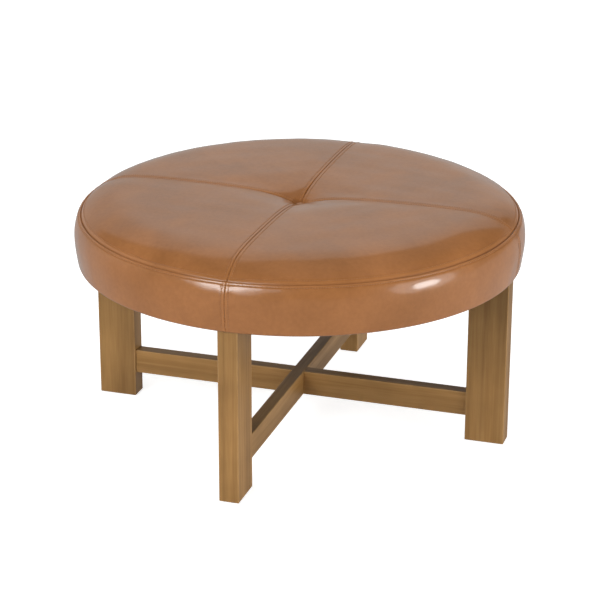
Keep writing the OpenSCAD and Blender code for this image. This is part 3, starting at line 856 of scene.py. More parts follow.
def leather_finish(colours):
    """Pull-up hide: mottled tan, softly waxed, darker in its seams and tuft from burnishing and painted
    shade, and paler where it is drawn tight, with a painted highlight on the raised allowances.
    """
    made = Finish("waxed_tan_leather")
    place = made.place()
    clouds = made.noise(place, 9.0, 3.0, 0.55, 0.4)
    flecks = made.noise(place, 120.0, 2.0, 0.6)
    burnish_and_shade = made.point("burnish_and_shade")
    base = made.tint(colours.leather, clouds, 0.32, 0.68, (0.89, 0.88, 0.84), grey(1.10))
    base = made.tint(base, flecks, 0.35, 0.65, grey(0.95), grey(1.04))
    # Paler on the raised allowances: pull-up paling, and a painted highlight on those ridges.
    tight = made.times(made.point("tight"), made.remap(clouds, 0.2, 0.8, 0.2, 0.45))
    base = made.blend(tight, base, colours.leather_pale_and_lit)
    # Darker in the seams, stitch rows and tuft: burnishing and painted shade. The same mask takes the coat
    # away, so no sheen shows there.
    base = made.blend(made.times(burnish_and_shade, 0.75), base, colours.leather_shaded_burnish)
    rough = made.plus(made.remap(clouds, 0.3, 0.7, 0.42, 0.50), made.times(burnish_and_shade, 0.4))
    made.shader.inputs["IOR"].default_value = 1.22
    made.link(made.remap(burnish_and_shade, 0.0, 0.6, 0.85, 0.0), "Coat Weight")
    made.shader.inputs["Coat Roughness"].default_value = 0.13
    made.shader.inputs["Coat IOR"].default_value = 1.63
    grain = made.plus(made.cells(place, 820.0), made.times(made.cells(place, 1900.0), 0.5))
    height = made.plus(grain, made.times(made.noise(place, 60.0, 4.0, 0.6, 1.2), 1.2))
    return made.done(base, rough, height, 0.22, 0.00016)


def thread_finish(colours):
    """Twisted thread, a shade paler than the hide."""
    made = Finish("waxed_thread")
    twist = made.noise(made.place(), 2400.0, 1.0)
    dark = shade(colours.thread, 0.8)
    return made.plain(twist, (0.3, 0.7), dark, colours.thread, (0.5, 0.65), (0.4, 0.0001))


WEAR_REACH = 0.0035


def edge_wear(made, centre, half):
    """Near 1 on the edges of a straight timber, and 0 on its faces."""
    where = made.add("ShaderNodeTexCoord", {}, "Object")
    moved = made.add("ShaderNodeVectorMath", {0: where, 1: tuple(centre)}, operation="SUBTRACT")
    away = made.add("ShaderNodeVectorMath", {0: moved}, operation="ABSOLUTE")
    near = [
        made.remap(made.axis(away, k), half[k] - WEAR_REACH, half[k] - WEAR_REACH * 0.15)
        for k in range(3)
    ]
    pairs = [made.times(near[a], near[b]) for a, b in ((0, 1), (1, 2), (2, 0))]
    return made.sums("MAXIMUM", made.sums("MAXIMUM", pairs[0], pairs[1]), pairs[2])


# Painted shade: how dark the timber is painted under the seat, and on faces that look up.
SEAT_SHADE_PAINT = 0.80
UPWARD_SHADE_PAINT = 0.56


def stretched(along, share):
    """A scale that draws a pattern out along one axis."""
    return [share if axis == along else 1.0 for axis in range(3)]


def stained_wood(node_name, along, colours, seed, painted_light_share):
    """Stained timber with fine straight grain along its length, and rubbed edges. Each piece is painted
    lighter or darker for the light that falls on it, and darker on upper faces and under the seat: painted
    shade where the seat shades the timber."""
    low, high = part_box(node_name)
    made = Finish("stained_" + node_name)
    drawn_out = made.place(stretched(along, 0.035), (seed * 1.37, seed * 2.11, seed * 0.73))
    place = made.place()
    fibres = made.noise(drawn_out, 420.0, 3.0, 0.6)
    streaks = made.noise(drawn_out, 75.0, 4.0, 0.55, 0.6)
    broad = made.noise(drawn_out, 22.0, 2.0, 0.5, 0.3)
    clouds = made.noise(place, 14.0, 2.0, 0.5)
    grain = made.plus(made.times(fibres, 0.3), made.times(streaks, 0.7))
    base = made.blend(made.remap(grain, 0.36, 0.62), colours.wood_dark, colours.wood)
    base = made.tint(base, broad, 0.32, 0.68, (0.80, 0.78, 0.76), (1.12, 1.11, 1.08))
    # Painted light and shade: the whole piece made lighter or darker for the light that falls on it.
    base = made.blend(1.0, base, grey(painted_light_share), "MULTIPLY")
    base = made.tint(base, clouds, 0.3, 0.7, (0.91, 0.90, 0.89), grey(1.06))
    # Painted shade: darker towards the seat and on faces that look up, where the seat shades the timber.
    under_seat = made.remap(made.axis(place, 2), 0.16, 0.35, 1.0, SEAT_SHADE_PAINT)
    facing = made.axis(made.add("ShaderNodeNewGeometry", {}, "Normal"), 2)
    upper = made.remap(facing, 0.6, 0.95, 1.0, UPWARD_SHADE_PAINT)
    base = made.blend(1.0, base, made.times(under_seat, upper), "MULTIPLY")
    wear = edge_wear(made, (low + high) / 2, (high - low) / 2)
    worn = made.times(wear, made.remap(clouds, 0.35, 0.65, 0.25, 0.6))
    base = made.blend(worn, base, colours.wood_worn)
    made.shader.inputs["IOR"].default_value = 1.4
    return made.done(base, made.remap(grain, 0.35, 0.65, 0.50, 0.40), grain, 0.25, 0.0003)


def bare_timber(name, along, colours, seed):
    """Plain planed timber, for pieces that don't show."""
    made = Finish(name)
    grain = made.noise(made.place(stretched(along, 0.05)), 90.0 + seed, 4.0, 0.6, 0.7)
    dark = shade(colours.bare_wood, 0.72)
    return made.plain(grain, (0.35, 0.65), dark, colours.bare_wood, (0.62, 0.5), (0.3, 0.0003))


PLY_LAYER = 0.0036
WEAVE_PITCH = 0.0012


def ripple(made, axis, pitch):
    """A wave along one axis of the object."""
    where = made.add("ShaderNodeTexCoord", {}, "Object")
    return made.sums("SINE", made.times(made.axis(where, axis), math.pi * 2 / pitch))


def plywood_finish(colours):
    """Birch board, with its layers showing on the edge."""
    made = Finish("birch_plywood")
    grain = made.noise(made.place((0.06, 1, 1)), 110.0, 3.0, 0.6, 0.5)
    base = made.blend(made.remap(grain, 0.35, 0.65), shade(colours.bare_wood, 0.74), colours.bare_wood)
    layer = made.remap(ripple(made, 2, PLY_LAYER), -1.0, 1.0, 0.0, 0.3)
    base = made.blend(layer, base, shade(colours.bare_wood, 0.55))
    return made.done(base, made.remap(grain, 0.3, 0.7, 0.65, 0.52), grain, 0.25, 0.0003)


def steel_finish(colours):
    """Bright zinc plating with a fine brushed haze."""
    made = Finish("zinc_plated_steel")
    haze = made.noise(made.place(), 350.0, 3.0, 0.6)
    bloom = made.remap(made.noise(made.place(), 60.0, 2.0), 0.35, 0.65)
    made.shader.inputs["Metallic"].default_value = 1.0
    base = made.blend(bloom, shade(colours.steel, 0.78), colours.steel)
    return made.done(base, made.remap(haze, 0.3, 0.7, 0.28, 0.42), haze, 0.15, 0.0001)


def nylon_finish():
    """Grey moulded nylon of the glides."""
    made = Finish("moulded_nylon")
    speck = made.noise(made.place(), 700.0, 2.0)
    dark, pale = (0.30, 0.29, 0.27), (0.36, 0.35, 0.33)
    return made.plain(speck, (0.35, 0.65), dark, pale, (0.42, 0.52), (0.15, 0.0001))


def foam_finish():
    """Cut foam with open cells."""
    made = Finish("cut_foam")
    pores = made.cells(made.place(), 700.0)
    clouds = made.noise(made.place(), 20.0)
    base = made.blend(made.remap(pores, 0.1, 0.6), (0.55, 0.50, 0.33), (0.80, 0.76, 0.58))
    base = made.blend(made.remap(clouds, 0.3, 0.7), base, (0.74, 0.68, 0.48))
    return made.done(base, made.remap(pores, 0.0, 0.6, 0.85, 0.95), pores, 0.6, 0.0006)


def wadding_finish():
    """White fibre wadding."""
    made = Finish("polyester_wadding")
    fibres = made.noise(made.place(), 500.0, 4.0, 0.7, 2.0)
    height = made.plus(fibres, made.times(made.noise(made.place(), 45.0, 3.0), 1.5))
    base = made.blend(made.remap(fibres, 0.3, 0.7), (0.72, 0.72, 0.70), (0.86, 0.86, 0.85))
    return made.done(base, made.remap(fibres, 0.3, 0.7, 0.85, 0.97), height, 0.6, 0.0008)


def cambric_finish(colours):
    """Black non-woven dust cover cloth with a fine pressed weave."""
    made = Finish("black_cambric")
    weave = made.times(ripple(made, 0, WEAVE_PITCH), ripple(made, 1, WEAVE_PITCH))
    lint = made.remap(made.noise(made.place(), 160.0, 3.0, 0.6), 0.35, 0.7)
    base = made.blend(lint, colours.cambric, shade(colours.cambric, 2.0))
    base = made.blend(made.remap(weave, -1, 1, 0, 0.3), base, shade(colours.cambric, 0.5))
    return made.done(base, made.remap(weave, -1, 1, 0.78, 0.9), weave, 0.35, 0.0002)


def twine_finish():
    """Waxed flax twine."""
    made = Finish("flax_twine")
    twist = made.noise(made.place((1, 1, 0.4)), 1500.0, 2.0)
    return made.plain(twist, (0.3, 0.7), (0.34, 0.26, 0.15), (0.52, 0.42, 0.27), (0.6, 0.8), (0.5, 0.0002))


# Operators, one for each group of pieces

CAMERA_TURN = math.radians(17.809)
CAMERA_RISE = math.radians(21.245)
CAMERA_ROLL = math.radians(0.133)
CAMERA_AWAY = 4.503
CAMERA_AIM = Vector((0, 0, 0.2465))
CAMERA_LENS = 131.02
LENS_SHIFT_X = 0.0006
LENS_SHIFT_Y = 0.00825

FLOOR_REACH = 14.0
FLOOR_GLOW = 0.80
# How strongly the floor glows where polished surfaces reflect it, in front and behind: a painted reflection.
FLOOR_FRONT = 0.26
FLOOR_BEHIND = 0.48

# Shares of the walls' light, and the share of all of it that polished surfaces show
CEILING = 0.12
FRONT_WALL = 0.35
RIGHT_WALL = 0.32
FAR_LEFT_WALL = 0.74
MIRRORED_ROOM = 0.88
# Heights where the pale walls start to darken and where the ceiling's plain light starts. Behind the
# seat they drop to the left and right of a middle, at two slopes, no further than a limit
WALL_TOP = math.radians(48)
CEILING_LOW = math.radians(54.5)
EDGE_MIDDLE = -0.28
LEFT_SLOPE = 1.9
RIGHT_SLOPE = 2.4
EDGE_LIMIT = 0.2
ROOM_COLOUR = (1, 0.985, 0.95, 1)

KEY_AIM = (0, -0.4, 0.42)
SIDE_AIM = (0.4, -0.1, 0.4)
# Each lamp's place, its aim, its width and height, the power that it shares in, its share, and
# whether polished surfaces show it
LAMPS = (
    ("key_core", (-0.86, -2.76, 1.7), KEY_AIM, 1.2, 1.3, "key_power", 0.32, True),
    ("key_light", (-0.88, -2.78, 1.7), KEY_AIM, 1.8, 1.9, "key_power", 0.45, True),
    ("key_glow", (-0.8, -2.8, 1.75), KEY_AIM, 2.6, 2.5, "key_power", 0.35, True),
    ("side_light", (3.1, -0.72, 0.62), SIDE_AIM, 0.85, 0.7, "side_power", 0.36, True),
    ("side_glow", (3.15, -0.7, 0.75), SIDE_AIM, 2.1, 1.7, "side_power", 0.36, True),
    ("side_fill", (3.2, -0.7, 0.9), SIDE_AIM, 3.6, 2.4, "side_power", 1.15, False),
    ("top_light", (0.2, 0.9, 3.2), (0, 0, 0.45), 2.4, 2.4, "top_power", 1.0, False),
    ("left_fill", (-3.2, -0.9, 1.0), (0, 0, 0.4), 2.0, 1.6, "key_power", 0.4, False),
)


def point_at(thing, place, way, roll=0.0):
    """Sets a lamp or camera at a place, looking along a direction."""
    thing.location = place
    thing.rotation_mode = "QUATERNION"
    thing.rotation_quaternion = way.to_track_quat("-Z", "Y") @ Quaternion((0, 0, 1), roll)


class OTTOMAN_OT_stage(bpy.types.Operator):
    """Camera, floor, surroundings and lights"""

    bl_idname = "ottoman.stage"
    bl_label = "Studio"

    def execute(self, context):
        studio = context.scene.ottoman_studio
        self.make_camera(context)
        self.make_floor(context.scene.ottoman_colours)
        self.make_surroundings(context, studio)
        self.make_lights(context, studio)
        return {"FINISHED"}

    def make_camera(self, context):
        level = math.cos(CAMERA_RISE)
        away = Vector((math.sin(CAMERA_TURN) * level, -math.cos(CAMERA_TURN) * level, math.sin(CAMERA_RISE)))
        camera = bpy.data.objects.new("camera", bpy.data.cameras.new("camera"))
        context.scene.collection.objects.link(camera)
        point_at(camera, CAMERA_AIM + away * CAMERA_AWAY, -away, CAMERA_ROLL)
        camera.data.lens = CAMERA_LENS
        camera.data.sensor_width = 36
        camera.data.shift_x = LENS_SHIFT_X
        camera.data.shift_y = LENS_SHIFT_Y
        camera.data.clip_start = 0.05
        camera.data.clip_end = 100
        context.scene.camera = camera

    def make_floor(self, colours):
        """A pale floor that shows the shadow, glows white further off, and is see-through from below. In
        reflections it shows no paint, only a glow, dimmer in front than behind: a painted reflection.
        """
        reach = FLOOR_REACH
        corners = [(-reach, -reach, 0), (reach, -reach, 0), (reach, reach, 0), (-reach, reach, 0)]
        floor = linked_object("studio_floor", corners, [(0, 1, 2, 3)])
        made = Finish("studio_floor")
        made.tree.nodes.remove(made.shader)
        mirrored = made.remap(made.axis(made.place(), 1), -1.0, 0.3, FLOOR_FRONT, FLOOR_BEHIND)
        mirrored = made.times(made.ray("Is Glossy Ray"), mirrored)
        tone = made.blend(made.ray("Is Glossy Ray"), colours.floor, grey(0.0))
        seen = made.sums("MAXIMUM", made.ray("Is Camera Ray"), made.ray("Is Transmission Ray"))
        apart = made.add("ShaderNodeVectorMath", {0: made.place()}, "Value", operation="LENGTH")
        strength = made.plus(made.times(seen, made.remap(apart, 1.5, 3.5, FLOOR_GLOW, 1.0)), mirrored)
        paint = made.add("ShaderNodeBsdfDiffuse", {"Color": tone})
        glow = made.add("ShaderNodeEmission", {"Color": WHITE, "Strength": strength})
        both = made.add("ShaderNodeAddShader", {0: paint, 1: glow})
        clear = made.add("ShaderNodeBsdfTransparent", {})
        under = made.add("ShaderNodeNewGeometry", {}, "Backfacing")
        show = made.add("ShaderNodeMixShader", {0: under, 1: both, 2: clear})
        made.tree.links.new(show, made.tree.nodes["Material Output"].inputs["Surface"])
        floor.data.materials.append(made.material)

    def make_surroundings(self, context, studio):
        """A pale room, darker overhead, behind the camera and on the right, and a white backdrop."""
        world = bpy.data.worlds.new("studio_room")
        context.scene.world = world
        world.use_nodes = True
        room = Nodes(world.node_tree)
        way = room.add("ShaderNodeTexCoord", {}, "Generated")
        x, y, z = [room.axis(way, k) for k in range(3)]
        across = room.plus(x, -EDGE_MIDDLE)
        off = room.sums("MINIMUM", room.times(across, across), EDGE_LIMIT)
        slope = room.remap(across, -0.05, 0.05, LEFT_SLOPE, RIGHT_SLOPE)
        raised = room.times(room.times(off, slope), room.remap(y, -0.1, 0.2))
        top, low = math.sin(WALL_TOP), math.sin(CEILING_LOW)
        height = room.remap(room.plus(z, raised), top, low, 1.0, CEILING)
        side = room.remap(x, -0.08, 0.25, 1.0, RIGHT_WALL)
        side = room.times(side, room.remap(x, -0.52, -0.34, FAR_LEFT_WALL, 1.0))
        front = room.remap(y, -0.5, 0.0, FRONT_WALL, 1.0)
        height = room.times(height, room.times(side, front))
        polish = studio.room_light * MIRRORED_ROOM
        power = room.remap(room.ray("Is Glossy Ray"), 0.0, 1.0, studio.room_light, polish)
        light = room.tree.nodes["Background"]
        light.inputs["Color"].default_value = ROOM_COLOUR
        room.tree.links.new(room.times(height, power), light.inputs["Strength"])
        backdrop = room.add("ShaderNodeBackground", {"Color": WHITE, "Strength": 1.0})
        seen = room.sums("MAXIMUM", room.ray("Is Camera Ray"), room.ray("Is Transmission Ray"))
        mixed = room.add("ShaderNodeMixShader", {0: seen, 1: light.outputs[0], 2: backdrop})
        room.tree.links.new(mixed, room.tree.nodes["World Output"].inputs["Surface"])
        context.scene.view_settings.view_transform = "Standard"

    def make_lights(self, context, studio):
        for name, place, aim, width, height, power, share, shown in LAMPS:
            lamp = bpy.data.lights.new(name, "AREA")
            lamp.shape = "ELLIPSE"
            lamp.size = width
            lamp.size_y = height
            lamp.energy = getattr(studio, power) * share
            light = bpy.data.objects.new(name, lamp)
            context.scene.collection.objects.link(light)
            point_at(light, place, Vector(aim) - Vector(place))
            light.visible_glossy = shown


WRAP_RADII = (5.5, 8, 12, 16, 22, 30, 42, 60, 90, 130, 180, 240, 300, 350, 390, 415, 428, 436, 441)
WRAP_SPREAD = [0.0, 0.004, 0.009, 0.015, 0.023, 0.034, 0.05]
WRAP_MIDDLE = 22
WRAP_TUCK = 0.0022
WRAP_GAP = 0.0010
WRAP_SIDE_GAP = 0.0018
WRAP_SEAM_TUCK = 0.0015
WRAP_LEAST = 0.0012
FOAM_EDGE = 0.0002
FOAM_GAP = 0.0006
BOARD_GAP = 0.0008
FOAM_COLUMNS = 128
CLOTH_COLUMNS = 192


class OTTOMAN_OT_padding(bpy.types.Operator):
    """Foam block and wadding wrap"""

    bl_idname = "ottoman.padding"
    bl_label = "Padding"

    def execute(self, context):
        self.make_foam()
        self.make_wadding(context.scene.ottoman_sizes)
        return {"FINISHED"}

    def foam_outline(self, grow):
        """Outline of the foam block, from the twine hole over its eased shoulder to the board."""
        hole = TWINE_HOLE_R - grow
        top = float(FOAM_Z) + grow
        edge = BOARD_R - FOAM_EDGE + grow
        outline = [(hole, CORE_Z), (BOARD_R - 0.001 + grow, CORE_Z), (edge, CORE_Z + 0.004)]
        for k in range(ARC_STEPS + 1):
            a = math.pi / 2 * k / ARC_STEPS
            outline.append((edge - FOAM_BEVEL * (1 - math.cos(a)), top - FOAM_BEVEL * (1 - math.sin(a))))
        return outline + [(0.30, top), (0.12, top), (hole, top)]

    def make_foam(self):
        outline = self.foam_outline(0.0)
        verts, faces = ring_solid(lambda j, angle: outline, even_angles(FOAM_COLUMNS))
        piece = new_piece("foam_block", verts, faces, foam_finish(), sharp=40)
        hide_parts("foam_core")

    def make_wadding(self, sizes):
        """The wrap: its top and side lie under the leather, and it covers the foam down to the board."""
        radii = np.array([r * MM for r in WRAP_RADII])
        quarter = column_angles(RIM_R, WRAP_MIDDLE, WRAP_SPREAD)[:-1]
        angles = np.concatenate([quarter + math.pi / 2 * k for k in range(4)])
        r, angle = np.meshgrid(radii, angles, indexing="ij")
        d = seam_distance(r, angle)
        rim = EDGE_R - r
        swelling = top_swell(sizes, r * np.cos(angle), r * np.sin(angle), r, angle)
        lie = sizes.leather_t + WRAP_GAP + WRAP_TUCK * fade(d, 0.006) + WRAP_TUCK * fade(rim, 0.012)
        top = plain_top(sizes, r) + swelling - lie - crossing_pull(d, rim) - crossing_dip(d, rim)
        skin = self.foam_outline(FOAM_GAP)[2:]
        top = np.maximum(top, skin[-1][1] + WRAP_LEAST)
        shoulder, low = BOARD_R + BOARD_GAP, BOARD_Z + BOARD_GAP

        def outline(j, angle):
            across = seam_distance(RIM_R, angle)
            side = []
            for z in np.linspace(RIM_Z - 0.012, TUCK_Z, 9):
                draw = crossing_pull(across, RIM_Z - z) + WRAP_SEAM_TUCK * fade(across, 0.006)
                side.append((band_radius(sizes, z) - sizes.leather_t - WRAP_SIDE_GAP - draw, z))
            foot = [(tuck_radius(sizes) + WRAP_LEAST, low), (shoulder, low), (shoulder, CORE_Z)]
            return list(zip(radii, top[:, j])) + side + foot + skin

        verts, faces = ring_solid(outline, angles)
        piece = new_piece("wadding_pad", verts, faces, wadding_finish(), sharp=50)
        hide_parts("wadding_wrap")


class OTTOMAN_OT_top(bpy.types.Operator):
    """Four quarters of leather on the top"""

    bl_idname = "ottoman.top"
    bl_label = "Top leather"

    def execute(self, context):
        lay_leather(context, top_grid, "top_leather_", "top_panel_")
        return {"FINISHED"}


class OTTOMAN_OT_band(bpy.types.Operator):
    """Four quarters of leather round the side"""

    bl_idname = "ottoman.band"
    bl_label = "Band leather"

    def execute(self, context):
        lay_leather(context, band_grid, "band_leather_", "band_panel_")
        return {"FINISHED"}


# Where a stitch's thread lies: its place along the stitch, its height over the leather, its girth
STITCH_RINGS = (
    (-0.5, -0.6, 0.35), (-0.42, 0.05, 0.8), (-0.2, 0.42, 1.0),
    (0.2, 0.42, 1.0), (0.42, 0.05, 0.8), (0.5, -0.6, 0.35),
)
STITCH_SIDES = 6
TUFT_CLEAR = 0.015
RIM_CLEAR = 0.009
TOP_ROW_STOP = 0.0065
BAND_ROW_CLEAR = (0.010, 0.008)
BELOW_ROW_OUT = 0.0024
BELOW_ROW_DROP = 0.0010
BELOW_ROW_SHARE = 0.55
RIM_RISE = math.radians(38)
BACK_OFF = 0.05


class OTTOMAN_OT_stitching(bpy.types.Operator):
    """Rows of stitches beside every seam"""

    bl_idname = "ottoman.stitching"
    bl_label = "Stitching"

    def execute(self, context):
        sizes = context.scene.ottoman_sizes
        self.lay_out_leather()
        self.pitch, self.length, self.thick = sizes.stitch_pitch, sizes.stitch_l, sizes.thread_d
        thread = thread_finish(context.scene.ottoman_colours)
        groups = (
            ("top_seam_stitches", self.top_rows(sizes.top_row)),
            ("rim_seam_stitches", self.rim_rows(sizes.rim_row)),
            ("band_seam_stitches", self.band_rows(sizes.top_row)),
        )
        for name, rows in groups:
            self.verts, self.faces = [], []
            for places, aim in rows:
                self.sew(places, aim)
            if not self.faces:
                raise RuntimeError("no stitch found leather in " + name)
            new_piece(name, self.verts, self.faces, thread)
        return {"FINISHED"}

    def lay_out_leather(self):
        """A search tree of all the leather, which the stitches are laid on."""
        points, faces = [], []
        for stem in ("top_leather_", "band_leather_"):
            for quarter, _ in QUARTERS:
                mesh = bpy.data.objects[stem + quarter].data
                first = len(points)
                points += [v.co.copy() for v in mesh.vertices]
                faces += [tuple(first + v for v in p.vertices) for p in mesh.polygons]
        self.leather = BVHTree.FromPolygons(points, faces)

    def sew(self, places, aims):
        """Lays stitches through a row of places, each found by a ray along its aim."""
        hits = []
        for place, aim in zip(places, aims):
            hit, normal, _, _ = self.leather.ray_cast(place, aim)
            if hit is None:
                raise RuntimeError("a stitch missed the leather")
            hits.append((hit, normal if normal.dot(aim) < 0 else -normal))
        for (a, up_a), (b, up_b) in zip(hits[::2], hits[1::2]):
            self.add_stitch((a + b) / 2, (b - a).normalized(), (up_a + up_b).normalized())

    def add_stitch(self, middle, along, normal):
        """One stitch: thread that comes out of the leather, lies on it, and goes in again."""
        across = along.cross(normal).normalized()
        up = across.cross(along).normalized()
        first = len(self.verts)
        for share, lift, girth in STITCH_RINGS:
            centre = middle + along * (share * self.length) + up * (lift * self.thick)
            half = self.thick / 2 * girth
            for k in range(STITCH_SIDES):
                a = 2 * math.pi * k / STITCH_SIDES
                self.verts.append(centre + across * (math.cos(a) * half) + up * (math.sin(a) * half))
        last = len(self.verts) - STITCH_SIDES
        for here in range(first, last, STITCH_SIDES):
            there = here + STITCH_SIDES
            for k in range(STITCH_SIDES):
                after = (k + 1) % STITCH_SIDES
                self.faces.append((here + k, here + after, there + after, there + k))
        self.faces.append(tuple(reversed(range(first, first + STITCH_SIDES))))
        self.faces.append(tuple(range(last, last + STITCH_SIDES)))

    def ends(self, start, stop):
        """Distances of the two ends of each stitch along a row."""
        spots = []
        for k in range(int((stop - start) / self.pitch)):
            middle = start + (k + 0.5) * self.pitch
            spots += [middle - self.length / 2, middle + self.length / 2]
        return spots

    def top_rows(self, row):
        """Two rows along each of the four seams of the top, which close up near the tuft."""
        rows = []
        for _, start in QUARTERS:
            out = outward(start)
            side = Vector((-out.y, out.x, 0))
            for sign in (-1, 1):
                places = []
                for along in self.ends(TUFT_CLEAR, EDGE_R - TOP_ROW_STOP):
                    away = row * float(narrowing(along))
                    places.append(out * along + side * (sign * away) + Vector((0, 0, RIM_Z + ABOVE)))
                rows.append((places, [DOWN] * len(places)))
        return rows

    def rim_rows(self, row):
        """One row above the rim seam and one below it."""
        rows = []
        for above in (True, False):
            for _, start in QUARTERS:
                places, aims = [], []
                for along in self.ends(0.0, RIM_R * math.pi / 2 - 2 * RIM_CLEAR):
                    angle = math.radians(start) + RIM_CLEAR / RIM_R + along / RIM_R
                    out = Vector((math.cos(angle), math.sin(angle), 0))
                    if above:
                        spot = out * (EDGE_R - row) + Vector((0, 0, RIM_Z))
                        aim = DOWN
                    else:
                        drop = Vector((0, 0, RIM_Z - BELOW_ROW_DROP - row * BELOW_ROW_SHARE))
                        spot = out * (RIM_R + BELOW_ROW_OUT) + drop
                        aim = -(out * math.cos(RIM_RISE) + Vector((0, 0, math.sin(RIM_RISE))))
                    places.append(spot - aim * BACK_OFF)
                    aims.append(aim)
                rows.append((places, aims))
        return rows

    def band_rows(self, row):
        """Two rows down each seam of the band."""
        rows = []
        for _, start in QUARTERS:
            for sign in (-1, 1):
                out = outward(start + math.degrees(sign * row / RIM_R))
                drops = self.ends(BAND_ROW_CLEAR[0], BAND_H - BAND_ROW_CLEAR[1])
                places = [out * OUTSIDE + Vector((0, 0, RIM_Z - drop)) for drop in drops]
                rows.append((places, [-out] * len(places)))
        return rows


BUTTON_CROWN = 0.0038
BUTTON_COLUMNS = 84
MIDDLE_R = 0.00005


class OTTOMAN_OT_button(bpy.types.Operator):
    """Leather button at the middle of the tuft"""

    bl_idname = "ottoman.button"
    bl_label = "Tuft button"

    def execute(self, context):
        sizes = context.scene.ottoman_sizes
        reach = BUTTON_HI.x
        top, low = BUTTON_HI.z + BUTTON_RISE, BUTTON_LO.z
        waist = top - BUTTON_CROWN

        def outline(_, angle):
            gather = 0.5 + 0.5 * math.cos(sizes.pleats * angle + 0.6 * math.sin(3 * angle))
            points = [(MIDDLE_R, top)]
            for k in range(1, 13):
                a = math.pi / 2 * k / 12
                fold = 0.00035 * gather * math.sin(a) ** 6
                rise = (top - waist) * math.cos(a) ** 0.9
                points.append(((reach - 0.0001) * math.sin(a) - fold, waist + rise))
            for k in range(1, 6):
                share = k / 5
                fold = 0.0009 * gather * math.sin(math.pi * share * 0.8)
                fall = (waist - low - 0.0002) * share
                points.append((reach * (1 - 0.45 * share**1.4) - fold, waist - fall))
            return points + [(MIDDLE_R, low + 0.0002)]

        verts, faces = ring_solid(outline, even_angles(BUTTON_COLUMNS))
        leather = made_once("leather", leather_finish, context.scene.ottoman_colours)
        piece = new_piece("tuft_button", verts, faces, leather, sharp=70)
        r, height = np.hypot(verts[:, 0], verts[:, 1]), verts[:, 2]
        # Painted shade on the button below its waist, where it sinks into its pocket, and pull-up paling with
        # a painted highlight round its crown's edge.
        set_point_values(piece, "burnish_and_shade", 0.7 * ease(waist + 0.0012 - height, 0, 0.002))
        set_point_values(piece, "tight", 0.6 * ease(r, 0.004, 0.009) * ease(height, waist, waist + 0.0015))
        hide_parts("button_cover")
        return {"FINISHED"}


# Each piece is painted a little lighter or darker for the light that falls on it: painted light and shade.
# The number in the middle is the axis of its grain, and the last is that share
STAINED = (
    ("leg_front", 2, 1.17), ("leg_back", 2, 1.08), ("leg_left", 2, 0.86), ("leg_right", 2, 0.95),
    ("stretcher_over", 1, 0.92), ("stretcher_under", 0, 1.1),
)


class OTTOMAN_OT_timber(bpy.types.Operator):
    """Legs, stretchers, top rails, dowels and board"""

    bl_idname = "ottoman.timber"
    bl_label = "Timber"

    def execute(self, context):
        colours = context.scene.ottoman_colours
        for seed, (piece, along, painted_light_share) in enumerate(STAINED):
            refinish_node(piece, stained_wood(piece, along, colours, seed + 1, painted_light_share))
        refinish_node("top_rail_over", bare_timber("planed_top_rail_over", 1, colours, 1))
        refinish_node("top_rail_under", bare_timber("planed_top_rail_under", 0, colours, 2))
        beech = bare_timber("beech_dowel", 0, colours, 3)
        refinish_node("stretcher_dowels", beech)
        refinish_node("top_rail_dowels", beech)
        refinish_node("seat_board", plywood_finish(colours))
        return {"FINISHED"}


FIXINGS = (
    "seat_bolts", "bolt_washers", "tee_nuts", "stretcher_lap_screw", "top_rail_lap_screw",
    "cover_staples", "dust_cover_staples", "glide_nails", "twine_washer", "button_shell",
)


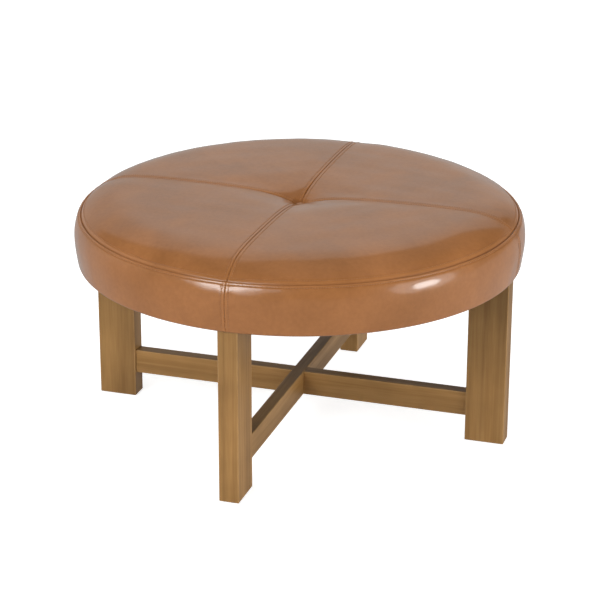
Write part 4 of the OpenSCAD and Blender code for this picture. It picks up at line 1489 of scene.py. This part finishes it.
class OTTOMAN_OT_underside(bpy.types.Operator):
    """Dust cover, fixings, glides and twine"""

    bl_idname = "ottoman.underside"
    bl_label = "Underside"

    def execute(self, context):
        colours = context.scene.ottoman_colours
        self.make_cloth(colours)
        steel = steel_finish(colours)
        for node_name in FIXINGS:
            refinish_node(node_name, steel)
        refinish_node("glides", nylon_finish())
        refinish_node("tufting_twine", twine_finish())
        return {"FINISHED"}

    def make_cloth(self, colours):
        """A round of cloth, drawn tight and stapled, that sags a little between the rails."""
        edge = np.linspace(CLOTH_R - 0.016, CLOTH_R, 6)
        radii = np.concatenate([[0.002], np.linspace(0.02, CLOTH_R - 0.02, 34), edge])
        r, angle = np.meshgrid(radii, even_angles(CLOTH_COLUMNS), indexing="ij")
        x, y = r * np.cos(angle), r * np.sin(angle)
        clear_of_rail = ease(np.minimum(np.abs(x), np.abs(y)), 0.020, 0.10)
        sag = 0.0022 * clear_of_rail * ease(CLOTH_R - r, 0.012, 0.10)
        outer = ease(r, 0.30, 0.40) * ease(CLOTH_R - r, 0.004, 0.02)
        wave = 0.00025 * clear_of_rail * np.cos(24 * angle) * outer
        low = np.stack([x, y, CLOTH_Z - sag - np.abs(wave)], axis=2)
        verts, faces = sheet_solid(low + np.array([0, 0, CLOTH_T * 0.9]), low, closed=True)
        piece = new_piece("dust_cover_cloth", verts, faces, cambric_finish(colours), sharp=50)
        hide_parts("dust_cover")


class OTTOMAN_PT_pieces(bpy.types.Panel):
    """Lists the pieces of the ottoman"""

    bl_idname = "OTTOMAN_PT_pieces"
    bl_label = "Tufted ottoman"
    bl_space_type = "VIEW_3D"
    bl_region_type = "UI"
    bl_category = "Ottoman"

    def draw(self, context):
        for operator in OPERATORS:
            self.layout.operator(operator.bl_idname)
        for name in GROUPS:
            box = self.layout.box()
            group = getattr(context.scene, name)
            for setting in type(group).__annotations__:
                box.prop(group, setting)


OPERATORS = (
    OTTOMAN_OT_stage,
    OTTOMAN_OT_padding,
    OTTOMAN_OT_top,
    OTTOMAN_OT_band,
    OTTOMAN_OT_stitching,
    OTTOMAN_OT_button,
    OTTOMAN_OT_timber,
    OTTOMAN_OT_underside,
)
GROUPS = {
    "ottoman_sizes": OttomanSizes,
    "ottoman_colours": OttomanColours,
    "ottoman_studio": OttomanStudio,
}
CLASSES = (*GROUPS.values(), *OPERATORS, OTTOMAN_PT_pieces)


def register():
    for made in CLASSES:
        bpy.utils.register_class(made)
    for name, group in GROUPS.items():
        setattr(bpy.types.Scene, name, PointerProperty(type=group))


def unregister():
    for name in GROUPS:
        delattr(bpy.types.Scene, name)
    for made in reversed(CLASSES):
        bpy.utils.unregister_class(made)


def main():
    register()
    bpy.ops.ottoman.stage()
    bpy.ops.ottoman.padding()
    bpy.ops.ottoman.top()
    bpy.ops.ottoman.band()
    bpy.ops.ottoman.stitching()
    bpy.ops.ottoman.button()
    bpy.ops.ottoman.timber()
    bpy.ops.ottoman.underside()


if __name__ == "__main__":
    main()
